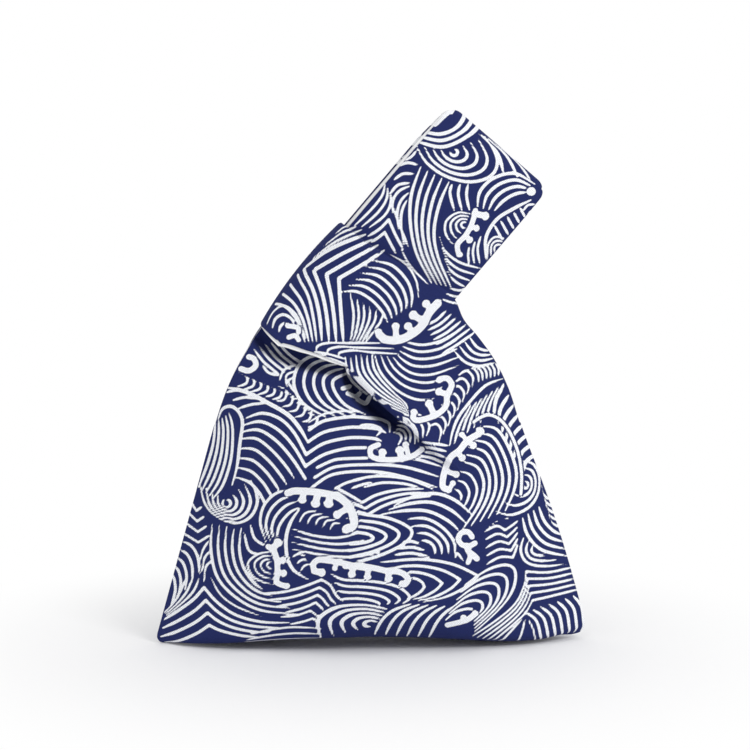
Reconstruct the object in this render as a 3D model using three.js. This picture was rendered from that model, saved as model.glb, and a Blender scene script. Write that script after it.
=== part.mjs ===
// A small lined knot bag. Its long handle loop is passed through its short one, which closes the mouth.
// Millimetres, +Z up. The bag stands on z = 0, its front faces -Y, and its seams lie in the plane y = 0.
import * as THREE from 'three';

const { lerp, degToRad, smoothstep } = THREE.MathUtils;

// Body
const BASE_WIDTH = 220;
const BASE_DEPTH = 32; // flat on the table, front to back
const CORNER_RADIUS = 9;
const TURN_HEIGHT = 26; // the base rounds up into the belly over this height
const TURN_DEPTH = 68; // front to back, at that height
const BELLY_DEPTH = 72;
const BELLY_HEIGHT = 50;
const SEAM_HEIGHT = 110; // the side seams end here, and the arm openings start
const SEAM_TOP_WIDTH = 159;
const SHOULDER_DEPTH = 60; // front to back, at the top of the side seams
const SIDE_BOW = 2.5; // the right side swells this far past a straight line
const LEFT_SHOULDER_BOW = 2.5;
const RIGHT_SHOULDER_BOW = 3.5;

// Handle loops and knot
const STRAP_WIDTH = 69;
const STRAP_LEAN = 49.6; // degrees that the long loop rises above the table
const KNOT_X = -6;
const KNOT_RISE = 58.6; // the knot's middle, above the top of the side seams
const LONG_REACH = 111; // from the knot's middle to the end of the long loop
const LONG_END_ROUND = 25; // the long loop closes to its end seam over this length
const LOOP_MID_GAP = 13; // between the two linings in the middle of the long loop
const LOOP_EDGE_GAP = 9.6; // and at its edges
const STRAP_NIP = 3.6; // the short loop squeezes the long one's left edge in by this much
const RING_SLACK = 2; // the short loop reaches this far past the long one
const RING_END_ROUND = 12.5; // the short loop closes to its end seam over this length
const RING_CLEARANCE = 4.8; // between the long loop and the lining of the short one round it

// Pleat that draws the mouth together, with the right half folded over the left
const PINCH_X = 36; // the foot of the pleat
const PINCH_RISE = 4; // above the top of the side seams
const MOUTH_BOW = 5; // the hidden edge of the mouth curves in by this much
const FOLD_BORE = 1.1; // free radius inside the front fold
const FOLD_BACK = 1.5; // radius of the hidden fold, on its printed side

// Cloth
const OUTER_CLOTH = 0.8;
const LINING_CLOTH = 0.6;
const PLY_GAP = 0.4;
const SEAM_GAP = 0.3;

// Shape and fineness of the panel's grid
const SIDE_COLUMNS = 8;
const BASE_POWER = 5; // roundness from seam to seam, at the base
const BODY_POWER = 2.2; // and in the body
const FLAT_SHARE = 0.6; // share of the base, from the middle out, that is flat on the table
const CORNER_SHARE = 0.7; // share of the corner's round that the flat base reaches
const STRIP_WIDTH = 4; // flat cloth between the pleat's two folds, where it starts

const seamDepth = SEAM_GAP / 2;
const ply = OUTER_CLOTH + PLY_GAP + LINING_CLOTH;
const halfStrap = STRAP_WIDTH / 2;
const foldFront = ply + FOLD_BORE;
const loopMid = LOOP_MID_GAP / 2 + ply;
const loopEdge = LOOP_EDGE_GAP / 2 + ply;
const ringDepth = loopMid + RING_CLEARANCE + ply;

const lean = degToRad(STRAP_LEAN);
const along = new THREE.Vector2(Math.cos(lean), Math.sin(lean));
const across = new THREE.Vector2(along.y, -along.x);
const knot = new THREE.Vector2(KNOT_X, SEAM_HEIGHT + KNOT_RISE);
const pinch = new THREE.Vector2(PINCH_X, SEAM_HEIGHT + PINCH_RISE);
const ORIGIN = new THREE.Vector2(0, 0);
const LEFTWARDS = new THREE.Vector2(-1, 0);

// Outlines, in the plane y = 0. A Vector2 holds x and z.

// A place measured along and across the long loop from the knot's middle, in halves of the strap's width.
function inKnot(t, n) {
  return knot.clone().addScaledVector(along, t * halfStrap).addScaledVector(across, n * halfStrap);
}

// A point on a shallow arc between two points, bowed to the left of the way it runs.
function bowed(start, end, bow, share) {
  const chord = end.clone().sub(start).normalize();
  const left = new THREE.Vector2(-chord.y, chord.x);
  return start.clone().lerp(end, share).addScaledVector(left, bow * Math.sin(Math.PI * share));
}

// The side outline at a height, on the left (-1) or the right (1).
function sidePoint(side, z) {
  const share = z / SEAM_HEIGHT;
  const bow = side > 0 ? SIDE_BOW * Math.sin(Math.PI * share) : 0;
  return new THREE.Vector2(side * (lerp(BASE_WIDTH, SEAM_TOP_WIDTH, share) / 2 + bow), z);
}

// The rounded corner, from the bottom seam (0) up to the side seam (1).
function cornerPoint(side, share) {
  const angle = (share * Math.PI) / 2;
  const point = sidePoint(side, CORNER_RADIUS * (1 - Math.cos(angle)));
  point.x -= side * CORNER_RADIUS * (1 - Math.sin(angle));
  return point;
}

// Half the body's depth at a height above the rounded base.
function bellyAt(z) {
  if (z < BELLY_HEIGHT) {
    const below = (BELLY_HEIGHT - z) / (BELLY_HEIGHT - TURN_HEIGHT);
    return lerp(BELLY_DEPTH, TURN_DEPTH, below ** 2) / 2;
  }
  const above = (z - BELLY_HEIGHT) / (SEAM_HEIGHT - BELLY_HEIGHT);
  return lerp(BELLY_DEPTH, SHOULDER_DEPTH, above ** 2) / 2;
}

// Rows of the front panel, from the bottom seam up. A row's left half runs from leftEdge to leftEnd,
// and its right half from rightStart to rightEdge. The pleat lies between them. Depths are measured
// forward from the seams.

// The pleat's width and its step in depth, where its two folds turn through an angle and a flat strip
// joins them.
function pleatSize(turn) {
  const radii = foldFront + FOLD_BACK;
  return {
    width: radii * Math.sin(turn) + STRIP_WIDTH * Math.cos(turn),
    step: radii * (1 - Math.cos(turn)) + STRIP_WIDTH * Math.sin(turn),
  };
}

function bodyRow(level, pillow, leftEdge, rightEdge, turn = 0) {
  const split = PINCH_X * (level / pinch.y);
  const { width, step } = pleatSize(turn);
  return {
    level,
    pillow,
    leftEdge,
    rightEdge,
    leftEnd: new THREE.Vector2(split - width / 2, level),
    rightStart: new THREE.Vector2(split + width / 2, level),
    leftDepth: seamDepth,
    rightDepth: seamDepth,
    middle: seamDepth,
    step,
    turn,
    foldWay: LEFTWARDS,
  };
}

function bodyRows() {
  const rows = [];
  for (const share of [0, 0.5, 1]) {
    const corner = share * CORNER_SHARE;
    const row = bodyRow(0, (share * BASE_DEPTH) / 2, cornerPoint(-1, corner), cornerPoint(1, corner));
    rows.push({ ...row, power: BASE_POWER });
  }
  for (const degrees of [27, 54, 78]) {
    const turn = degToRad(degrees);
    const level = TURN_HEIGHT * (1 - Math.cos(turn));
    const pillow = lerp(BASE_DEPTH, TURN_DEPTH, Math.sin(turn)) / 2;
    const seam = lerp(CORNER_RADIUS, level, level / TURN_HEIGHT);
    const row = bodyRow(level, pillow, sidePoint(-1, seam), sidePoint(1, seam));
    rows.push({ ...row, power: lerp(BASE_POWER, BODY_POWER, Math.sin(turn)) });
  }
  const upper = [[0.31, 0], [0.46, 0], [0.61, 0], [0.74, 0], [0.84, 35], [0.92, 80]];
  for (const [share, pleatDegrees] of upper) {
    const level = share * SEAM_HEIGHT;
    const edges = [sidePoint(-1, level), sidePoint(1, level)];
    rows.push(bodyRow(level, bellyAt(level), ...edges, degToRad(pleatDegrees)));
  }
  return rows;
}

// The shoulders, where the body narrows to the knot and the pleat deepens to the edge of the mouth.
function shoulderRows() {
  const leftRoot = inKnot(-1.15, STRAP_NIP / halfStrap - 1);
  const rightRoot = inKnot(0.99, 1.28);
  const mouthLeft = inKnot(0.4, 1);
  const mouthRight = inKnot(-0.635, 0.31);
  const leftTop = sidePoint(-1, SEAM_HEIGHT);
  const rightTop = sidePoint(1, SEAM_HEIGHT);
  const squareToCrease = mouthRight.clone().sub(pinch).rotateAround(ORIGIN, Math.PI / 2).normalize();
  const stages = [
    { rise: 0.06, hidden: 0, front: 0, pillow: 0.9, edge: 0.1, middle: 0, degrees: 122 },
    { rise: 0.34, hidden: 0.28, front: 0.33, pillow: 0.6, edge: 0.45, middle: 0.25, degrees: 180 },
    { rise: 0.6, hidden: 0.55, front: 0.67, pillow: 0.3, edge: 0.8, middle: 0.6, degrees: 180 },
    { rise: 0.82, hidden: 0.78, front: 1, pillow: 0.1, edge: 1, middle: 1, degrees: 180 },
  ];
  return stages.map((stage) => {
    const turn = degToRad(stage.degrees);
    const closed = stage.degrees === 180;
    const { width, step } = pleatSize(turn);
    const spread = closed ? 0 : width / 2;
    return {
      pillow: (stage.pillow * SHOULDER_DEPTH) / 2,
      leftEdge: bowed(leftTop, leftRoot, LEFT_SHOULDER_BOW, stage.rise),
      leftEnd: bowed(pinch, mouthLeft, MOUTH_BOW, stage.hidden).addScaledVector(LEFTWARDS, spread),
      rightStart: pinch.clone().lerp(mouthRight, stage.front).addScaledVector(LEFTWARDS, -spread),
      rightEdge: bowed(rightTop, rightRoot, -RIGHT_SHOULDER_BOW, stage.rise),
      leftDepth: lerp(seamDepth, loopEdge, stage.edge),
      rightDepth: lerp(seamDepth, ringDepth - ply, stage.edge),
      middle: lerp(seamDepth, ringDepth - ply, stage.middle),
      step,
      turn,
      foldWay: LEFTWARDS.clone().lerp(squareToCrease, stage.front).normalize(),
    };
  });
}

// The front of the long loop, above the edge of the mouth.
function longLoopRows() {
  const slanted = [[-1.15, 0.4], [-0.5, 0.75], [0.2, 1.04], [0.9, 1.33], [1.32, 1.65], [1.85, 2.05]];
  const roundStart = LONG_REACH - LONG_END_ROUND;
  const rows = slanted.map(([left, right]) => ({ left, right, closing: 1 }));
  for (const degrees of [0, 30, 55, 75, 90]) {
    const turn = degToRad(degrees);
    const t = (roundStart + LONG_END_ROUND * Math.sin(turn)) / halfStrap;
    rows.push({ left: t, right: t, closing: Math.cos(turn) });
  }
  return rows.map(({ left, right, closing }) => {
    const nip = (STRAP_NIP / halfStrap) * (1 - smoothstep(left, 0.9, 1.3));
    const edge = lerp(seamDepth, loopEdge, closing);
    return {
      start: inKnot(left, nip - 1),
      end: inKnot(right, 1),
      depth: edge,
      bulge: (loopMid - loopEdge) * closing,
    };
  });
}

// The front of the short loop, which crosses over the long one and folds round its left edge.
function shortLoopRows() {
  const slanted = [
    { lower: [-0.75, 0], upper: [0.99, 1.28] },
    { lower: [-0.855, -0.26], upper: [1, 0.78] },
    { lower: [-0.93, -0.46], upper: [1, 0.26] },
    { lower: [-0.985, -0.6], upper: [1, -0.23] },
  ];
  const rows = slanted.map((row) => ({ ...row, closing: 1 }));
  const reach = STRAP_WIDTH / 2 + RING_SLACK;
  for (const degrees of [0, 22, 44, 64, 80, 90]) {
    const turn = degToRad(degrees);
    const n = -(reach - RING_END_ROUND * (1 - Math.sin(turn))) / halfStrap;
    rows.push({ lower: [-1.02, n], upper: [1, n], closing: Math.cos(turn) });
  }
  return rows.map(({ lower, upper, closing }) => {
    const depth = lerp(seamDepth, ringDepth, closing);
    return { start: inKnot(...lower), end: inKnot(...upper), depth, bulge: 0 };
  });
}

// Points of the rows

function place(point, depth) {
  return new THREE.Vector3(point.x, -depth, point.y);
}

// Depth of the body's pillow at a share of the way from its middle (0) to a side seam (1).
function pillowAt(row, share) {
  return row.pillow * (1 - Math.abs(share) ** (row.power ?? BODY_POWER));
}

// How far across the body a place lies, from the left seam (-1) to the right one (1).
function shareAcross(row, point) {
  if (row.level === undefined) return pinch.x / (SEAM_TOP_WIDTH / 2);
  const [left, right] = [row.leftEdge.x, row.rightEdge.x];
  return (2 * point.x - left - right) / (right - left);
}

// One half of a row, from its start to its end, with the depths at both and the power of the way
// between them.
function halfRow(row, start, end, shares, depths, power) {
  const points = [];
  for (let i = 0; i <= SIDE_COLUMNS; i += 1) {
    const u = i / SIDE_COLUMNS;
    const share = lerp(shares[0], shares[1], u);
    const point = start.clone().lerp(end, u);
    if (row.level !== undefined) {
      const edge = share < 0 ? row.leftEdge : row.rightEdge;
      const lift = Math.max(0, (Math.abs(share) - FLAT_SHARE) / (1 - FLAT_SHARE));
      point.y = lerp(row.level, edge.y, lift ** 2);
    }
    points.push(place(point, pillowAt(row, share) + lerp(depths[0], depths[1], u ** power)));
  }
  return points;
}

// The pleat between the two halves: a flat strip where it starts, and two round folds above that.
function pleatPoints(row, from, to) {
  const rightwards = place(row.rightEdge, 0).sub(place(row.leftEdge, 0)).normalize();
  const foldWay = place(row.foldWay, 0);
  const bend = (point, way, radius, forward, share) => {
    const angle = row.turn * share;
    const bent = point.clone().addScaledVector(way, radius * Math.sin(angle));
    bent.y -= forward * radius * (1 - Math.cos(angle));
    return bent;
  };
  const shares = [0.25, 0.5, 0.75, 1];
  const hidden = shares.map((share) => bend(from, rightwards, FOLD_BACK, 1, share));
  const front = shares.map((share) => bend(to, foldWay, foldFront, -1, share)).reverse();
  const folded = [...hidden, hidden.at(-1).clone().lerp(front[0], 0.5), ...front];
  if (row.turn > 0) return folded;
  return folded.map((point, i) => from.clone().lerp(to, (i + 1) / (folded.length + 1)));
}

// A whole row across the panel.
function rowPoints(row) {
  const leftShares = [-1, shareAcross(row, row.leftEnd)];
  const rightShares = [shareAcross(row, row.rightStart), 1];
  const leftDepths = [row.leftDepth, row.middle - row.step / 2];
  const rightDepths = [row.middle + row.step / 2, row.rightDepth];
  const left = halfRow(row, row.leftEdge, row.leftEnd, leftShares, leftDepths, 1);
  const right = halfRow(row, row.rightStart, row.rightEdge, rightShares, rightDepths, 2);
  return [...left, ...pleatPoints(row, left.at(-1), right[0]), ...right];
}

// A row across one of the handle loops.
function loopPoints(row) {
  const points = [];
  for (let i = 0; i <= SIDE_COLUMNS; i += 1) {
    const u = i / SIDE_COLUMNS;
    const bulge = row.bulge * (1 - (2 * u - 1) ** 2);
    points.push(place(row.start.clone().lerp(row.end, u), row.depth + bulge));
  }
  return points;
}

// The front panel's outer surface, as points and four-sided faces. A face is later cut from its first
// corner, so the faces right of the middle start one corner on, to be cut as the mirror of those on the
// left.
function panelSheet() {
  const points = [];
  const faces = [];
  const addRow = (row) => row.map((point) => points.push(point) - 1);
  const join = (lower, upper) => {
    for (let i = 0; i + 1 < lower.length; i += 1) {
      const face = [lower[i], lower[i + 1], upper[i + 1], upper[i]];
      if (i >= (lower.length - 1) / 2) face.push(face.shift());
      faces.push(face);
    }
  };
  let last = null;
  for (const row of [...bodyRows(), ...shoulderRows()]) {
    const next = addRow(rowPoints(row));
    if (last) join(last, next);
    last = next;
  }
  const branches = [
    [last.slice(0, SIDE_COLUMNS + 1), longLoopRows()],
    [last.slice(-SIDE_COLUMNS - 1), shortLoopRows()],
  ];
  for (const [foot, rows] of branches) {
    let below = foot;
    for (const row of rows) {
      const next = addRow(loopPoints(row));
      join(below, next);
      below = next;
    }
  }
  return { points, faces };
}

// Outward direction at each point of a sheet.
function sheetNormals({ points, faces }) {
  const normals = points.map(() => new THREE.Vector3());
  for (const [a, b, c, d] of faces) {
    const first = points[c].clone().sub(points[a]);
    const second = points[d].clone().sub(points[b]);
    const facing = first.cross(second);
    for (const corner of [a, b, c, d]) normals[corner].add(facing);
  }
  return normals.map((normal) => normal.normalize());
}

// A point moved into the bag by a distance square to the cloth, without crossing the plane of the seams.
function movedIn(point, normal, distance) {
  const inward = normal.clone().negate();
  const level = new THREE.Vector3(inward.x, 0, inward.z);
  const levelLength = Math.max(level.length(), 1e-6);
  const back = Math.min(inward.y * distance, -seamDepth - point.y);
  const sideways = (distance - back * inward.y) / levelLength;
  const moved = point.clone().addScaledVector(level, sideways / levelLength);
  moved.y += back;
  return moved;
}

// A closed ply of cloth between two distances inside the sheet, with a wall along every free edge.
function plyGeometry(sheet, outside, inside) {
  const normals = sheetNormals(sheet);
  const count = sheet.points.length;
  const movedSheet = (distance) => sheet.points.map((point, i) => movedIn(point, normals[i], distance));
  const plySides = [outside, inside].map(movedSheet);
  const index = [];
  const quad = (a, b, c, d) => index.push(a, b, c, a, c, d);
  const edges = new Map();
  for (const face of sheet.faces) {
    const [a, b, c, d] = face;
    quad(a, b, c, d);
    index.push(a + count, c + count, b + count, a + count, d + count, c + count);
    face.forEach((from, i) => {
      const to = face[(i + 1) % face.length];
      edges.set(`${from},${to}`, [from, to]);
    });
  }
  for (const [from, to] of edges.values()) {
    if (!edges.has(`${to},${from}`)) quad(to, from, from + count, to + count);
  }
  const geometry = new THREE.BufferGeometry();
  const positions = plySides.flat().flatMap((point) => point.toArray());
  geometry.setAttribute('position', new THREE.Float32BufferAttribute(positions, 3));
  geometry.setIndex(index);
  return geometry;
}

// The same ply on the other side of the seams.
function mirrored(geometry) {
  const back = geometry.clone();
  back.scale(1, -1, 1);
  const index = back.getIndex();
  for (let i = 0; i < index.count; i += 3) {
    const second = index.getX(i + 1);
    index.setX(i + 1, index.getX(i + 2));
    index.setX(i + 2, second);
  }
  return back;
}

const printedCotton = new THREE.MeshStandardMaterial({ color: 0x2a3566, roughness: 0.9, metalness: 0 });
const whiteCotton = new THREE.MeshStandardMaterial({ color: 0xeef0f4, roughness: 0.9, metalness: 0 });

const sheet = panelSheet();
const plies = [
  { name: 'outer', outside: 0, inside: OUTER_CLOTH, material: printedCotton },
  { name: 'lining', outside: OUTER_CLOTH + PLY_GAP, inside: ply, material: whiteCotton },
];

const bag = new THREE.Group();
for (const { name, outside, inside, material } of plies) {
  const front = plyGeometry(sheet, outside, inside);
  const panels = { [`${name}_front_panel`]: front, [`${name}_back_panel`]: mirrored(front) };
  for (const [panelName, geometry] of Object.entries(panels)) {
    geometry.computeVertexNormals();
    const panel = new THREE.Mesh(geometry, material);
    panel.name = panelName;
    bag.add(panel);
  }
}

export default bag;
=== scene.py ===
import math

import bpy
import numpy as np
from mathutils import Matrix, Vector


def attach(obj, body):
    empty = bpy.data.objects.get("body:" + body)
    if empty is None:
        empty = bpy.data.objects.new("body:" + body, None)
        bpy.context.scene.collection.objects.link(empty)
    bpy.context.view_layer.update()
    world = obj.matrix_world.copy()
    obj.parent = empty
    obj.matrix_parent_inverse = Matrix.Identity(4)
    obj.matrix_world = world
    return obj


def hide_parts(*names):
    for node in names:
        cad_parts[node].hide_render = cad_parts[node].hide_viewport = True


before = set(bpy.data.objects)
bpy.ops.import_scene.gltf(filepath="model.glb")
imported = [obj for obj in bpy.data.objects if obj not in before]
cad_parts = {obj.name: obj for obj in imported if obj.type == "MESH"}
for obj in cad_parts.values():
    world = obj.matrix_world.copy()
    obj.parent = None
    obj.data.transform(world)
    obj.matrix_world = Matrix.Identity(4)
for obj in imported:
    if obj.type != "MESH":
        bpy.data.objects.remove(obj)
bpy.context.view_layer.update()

# A lined cotton knot bag with a wave print. Its long handle loop is passed through its short one.
# The cloth is shaped in millimetres, +Z up, with the front at -Y and the seams in the plane y = 0.
MM = 0.001
LEFT_AND_RIGHT = (-1, 1)

# Body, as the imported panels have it, but with a base that flares on the right
BASE_WIDTH = 220
BASE_FLARE = 5
BASE_DEPTH = 32
LEFT_CORNER_RADIUS = 5
RIGHT_CORNER_RADIUS = 9
TURN_HEIGHT = 26
TURN_DEPTH = 68
BELLY_DEPTH = 72
BELLY_HEIGHT = 50
SEAM_HEIGHT = 110
SEAM_TOP_WIDTH = 159
SHOULDER_DEPTH = 60
SIDE_BOW = 2.5
LEFT_SHOULDER_BOW = 2.5
RIGHT_SHOULDER_BOW = 4.3

# Handle loops and knot. Places along and across the knot are in halves of the strap's width.
STRAP_WIDTH = 69
STRAP_LEFT = 0.94  # its edges across the knot
STRAP_RIGHT = 0.95
STRAP_LEAN = math.radians(49.6)
KNOT = np.array([-6, 168.6])
LEFT_ROOT_ALONG = -1.15
MOUTH_ALONG = 0.4
RIGHT_ROOT_PLACE = (0.984, 1.2)
CREASE_END_PLACE = (-0.635, 0.36)
LONG_REACH = 112.7
LONG_END_ROUND = 25
LONG_LEFT_CORNER = 6.5
LONG_RIGHT_CORNER = 7
LOOP_MID_DEPTH = 8.3
LOOP_EDGE_DEPTH = 6.6
RING_LOWER_ALONG = -1.02
RING_UPPER_ALONG = 0.9
RING_SLACK = 2.5
RING_SKEW = 0.07  # in halves of the strap's width
RING_BOW = 2.5
RING_END_ROUND = 12.5
RING_DEPTH = 14.9

# Pleat that draws the mouth together
PINCH = np.array([24, 112])
PLEAT_START = np.array([46, 88])
BASE_SPLIT = 40
MOUTH_BOW = 5
CREASE_BOW = 0.5
CREASE_SKEW = 2.2  # a power that moves the bow towards the knot
FOLD_FRONT = 2.9
FOLD_BACK = 1.5
STRIP_WIDTH = 4
FOLDED_FLAT = 180
HOLLOW_WIDTH = 9.5
HOLLOW_DEPTH = 22
HOLLOW_FLOOR = 0.5  # how far it may pass the plane of the seams, as a share of the cloth's depth
HOLLOW_WALL = (0.6, 1)  # where its lower wall rises, as shares of its width
HOLLOW_BEHIND = (6, 20)  # how far behind the pleat it fades out
PLEAT_FADE = 0.6  # the share of the pleat over which it fades out
LIP_START = np.array([-60, 163])  # the ring's lower edge, which has a slot below it
LIP_WAY = np.array([51, -18])
SLOT_WIDTH = 10
SLOT_DEPTH = 16

# Set of the soft cloth. A pair gives a range.
BODY_SWELL = 0.5
SWELL_LENGTHS = (30, 80)
SWELL_WAVES = 9
SWELL_SEEDS = {"front": 3, "back": 8}
CLEAR_OF_SEAMS = (0.5, 9)
GATHER_SIZE = 0.6
GATHER_COUNT = 11
GATHER_START = (4, 22)
GATHER_END = (30, 75)
BASE_ARCH = 5.6
ARCH_MIDDLE = -5
ARCH_REACH = 95
ARCH_HEIGHT = 45
RIGHT_CORNER_LIFT = 2
CORNER_LIFT_RUN = (60, 110)

# Plies of cloth, measured in from the printed face, and their free edges
OUTER_CLOTH = 0.8
LINING_FACE = 1.2
PLY = 1.8
SEAM_DEPTH = 0.15
EDGE_ROLL = 0.55
EDGE_RUN = 1.7
EDGE_LINING_FACE = 0.9
EDGE_PLY = 1.2
LIP_RUN = 7
LIP_SKEW = 0.63  # a power that moves the ring's widest reach towards its root
STRAP_EDGE_RISE = 5  # how steeply the strap's reach starts and ends
MOST_SIDEWAYS = 2  # how far a ply may slip along the seams, in times of its depth

# Fineness of the cloth's grid
LEFT_COLUMNS = 156
RIGHT_COLUMNS = 78
COLUMN_CROWDING = 0.2
FOLD_COLUMNS = 5
ROW_SPACING = 0.95
PLAIN_STEP = 3  # fine rows and columns in one of the plain inner face
SHARP_EDGE = math.radians(50)

# Form of a row, as powers and shares
BASE_POWER = 5  # how square its bulge is
BODY_POWER = 2.2
LEFT_EASE = 1  # how late a half takes the depth of its right end
RIGHT_EASE = 2
FLAT_SHARE = 0.6  # the part of its width that stays level
CORNER_SHARE = 0.7  # the part of a rounded corner that the flat base has

# Numbers that stand for out of reach and for nearly nothing
FAR = 1000
LEAST_LEVEL = 1e-6
TINY = 1e-9

# Rows at which the cloth starts to turn out of the front view, from the base and from the mouth up
BASE_TURN_ROW = 3
LONG_TURN_ROW = 8
RING_TURN_ROW = 6

# The view from the front, which is also the frame that the print is drawn in
SIGHT = np.array([3.6, 0, 138])
VIEW_AZIMUTH = math.radians(-3)
VIEW_ELEVATION = math.radians(5)
VIEW_DISTANCE = 1000
VIEW_WIDTH = 384
SENSOR_WIDTH = 36

# How far each ply reaches past the ring's lower edge and the strap's left edge
EDGE_REACH = {
    ("outer", "front"): (0, 0),
    ("lining", "front"): (3, 1.2),
    ("outer", "back"): (0, 2),
    ("lining", "back"): (1, 1.2),
}

# Finishes: linear colours, threads in a millimetre, and how much the weave shows
BLUE_GROUND = (0.0155, 0.0235, 0.112, 1)
WHITE_INK = (0.86, 0.875, 0.91, 1)
LINING_WHITE = (0.86, 0.865, 0.87)
THREADS = 2.2
WANDER_SCALE = 0.9
WANDER_DETAIL = 2
FUZZ_SCALE = 1.5
FUZZ_DETAIL = 3
NOISE_MIDDLE = 0.5
SLUB_HEIGHT = 1.5
PRINT_GRAIN = 0.4
LINING_GRAIN = 0.04
INK_SOFTNESS = 0.09
RAGGED_INK = 0.35
BUMP_STRENGTH = 0.25
BUMP_DEPTH = 0.1 * MM
CLOTH_ROUGHNESS = 0.92
CLOTH_GLOSS = 0.2

# Sockets of a Mix node that are used for colours
MIX_FACTOR = 0
MIX_FIRST = 6
MIX_SECOND = 7
MIX_RESULT = 2

# Stage, in metres
WHITE = (1, 1, 1, 1)
FLOOR_WHITE = (0.96, 0.96, 0.97, 1)
FLOOR_ROUGHNESS = 0.9
FLOOR_GLOSS = 0.1
FLOOR_REACH = 4
FLOOR_FADE = (0.06, 0.26)
WORLD_LIGHT = 0.78
LAMP_PLACE = (0.9, -1.2, 1.25)
LAMP_SIZE = 0.6
LAMP_POWER = 10

HALF_STRAP = STRAP_WIDTH / 2
ALONG = np.array([math.cos(STRAP_LEAN), math.sin(STRAP_LEAN)])
ACROSS = np.array([ALONG[1], -ALONG[0]])
LEFTWARDS = np.array([-1.0, 0.0])
VIEW_RIGHT = np.array([math.cos(VIEW_AZIMUTH), math.sin(VIEW_AZIMUTH), 0])
VIEW_BACK = np.array([
    math.sin(VIEW_AZIMUTH) * math.cos(VIEW_ELEVATION),
    -math.cos(VIEW_AZIMUTH) * math.cos(VIEW_ELEVATION),
    math.sin(VIEW_ELEVATION),
])
VIEW_UP = np.cross(VIEW_BACK, VIEW_RIGHT)


def lerp(a, b, share):
    return a + (b - a) * share


def smoothstep(value, low, high):
    share = np.clip((value - low) / (high - low), 0, 1)
    return share * share * (3 - 2 * share)


# Outlines, in the plane of the seams. A point holds x and z.


def in_knot(along, across):
    """A place along and across the long loop from the knot's middle, in halves of the strap's width."""
    return KNOT + along * HALF_STRAP * ALONG + across * HALF_STRAP * ACROSS


def bowed(start, end, bow, share):
    """A place between two points on a line that bows to its left."""
    chord = (end - start) / np.linalg.norm(end - start)
    left = np.array([-chord[1], chord[0]])
    return lerp(start, end, share) + left * bow * math.sin(math.pi * share)


def side_point(side, z):
    """A place on the left or right side seam."""
    share = z / SEAM_HEIGHT
    bow = SIDE_BOW * math.sin(math.pi * share) + BASE_FLARE * (1 - share) if side > 0 else 0
    return np.array([side * (lerp(BASE_WIDTH, SEAM_TOP_WIDTH, share) / 2 + bow), z])


def corner_radius(side):
    return RIGHT_CORNER_RADIUS if side > 0 else LEFT_CORNER_RADIUS


def corner_point(side, share):
    """A place on a rounded lower corner, from the base up."""
    angle = share * math.pi / 2
    radius = corner_radius(side)
    point = side_point(side, radius * (1 - math.cos(angle)))
    point[0] -= side * radius * (1 - math.sin(angle))
    return point


def belly_at(z):
    """How far a panel stands out at a height."""
    if z < BELLY_HEIGHT:
        below = (BELLY_HEIGHT - z) / (BELLY_HEIGHT - TURN_HEIGHT)
        return lerp(BELLY_DEPTH, TURN_DEPTH, below ** 2) / 2
    above = (z - BELLY_HEIGHT) / (SEAM_HEIGHT - BELLY_HEIGHT)
    return lerp(BELLY_DEPTH, SHOULDER_DEPTH, above ** 2) / 2


# Rows of a panel, from the bottom seam up: a left half, the pleat and a right half


def pleat_size(turn):
    """How wide the pleat is and how far it steps forward, when its folds have turned so far."""
    radii = FOLD_FRONT + FOLD_BACK
    width = radii * math.sin(turn) + STRIP_WIDTH * math.cos(turn)
    step = radii * (1 - math.cos(turn)) + STRIP_WIDTH * math.sin(turn)
    return width, step


RIGHT_ROOT = in_knot(*RIGHT_ROOT_PLACE)
CREASE = in_knot(*CREASE_END_PLACE) - PINCH
SQUARE_TO_CREASE = np.array([-CREASE[1], CREASE[0]]) / np.linalg.norm(CREASE)


def split_at(level):
    """Where a row of the body is split into halves: on the crease's line, and below it nearly upright."""
    if level > PLEAT_START[1]:
        return float(np.interp(level, [PLEAT_START[1], PINCH[1]], [PLEAT_START[0], PINCH[0]]))
    return float(lerp(BASE_SPLIT, PLEAT_START[0], smoothstep(level, 0, PLEAT_START[1])))


def crease_point(share):
    """A place on the pleat's front edge, which hangs over the hollow below it."""
    bow = CREASE_BOW * math.sin(math.pi * share ** CREASE_SKEW)
    return PINCH + share * CREASE + bow * SQUARE_TO_CREASE


def body_row(level, pillow, left_edge, right_edge, turn=0.0, power=BODY_POWER):
    """A row of the body below the mouth, split by the pleat as far as that has turned."""
    split = split_at(level)
    width, step = pleat_size(turn)
    return {
        "level": level,
        "pillow": pillow,
        "power": power,
        "left_edge": left_edge,
        "right_edge": right_edge,
        "left_end": np.array([split - width / 2, level]),
        "right_start": np.array([split + width / 2, level]),
        "left_depth": SEAM_DEPTH,
        "right_depth": SEAM_DEPTH,
        "middle": SEAM_DEPTH,
        "step": step,
        "turn": turn,
    }


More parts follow.
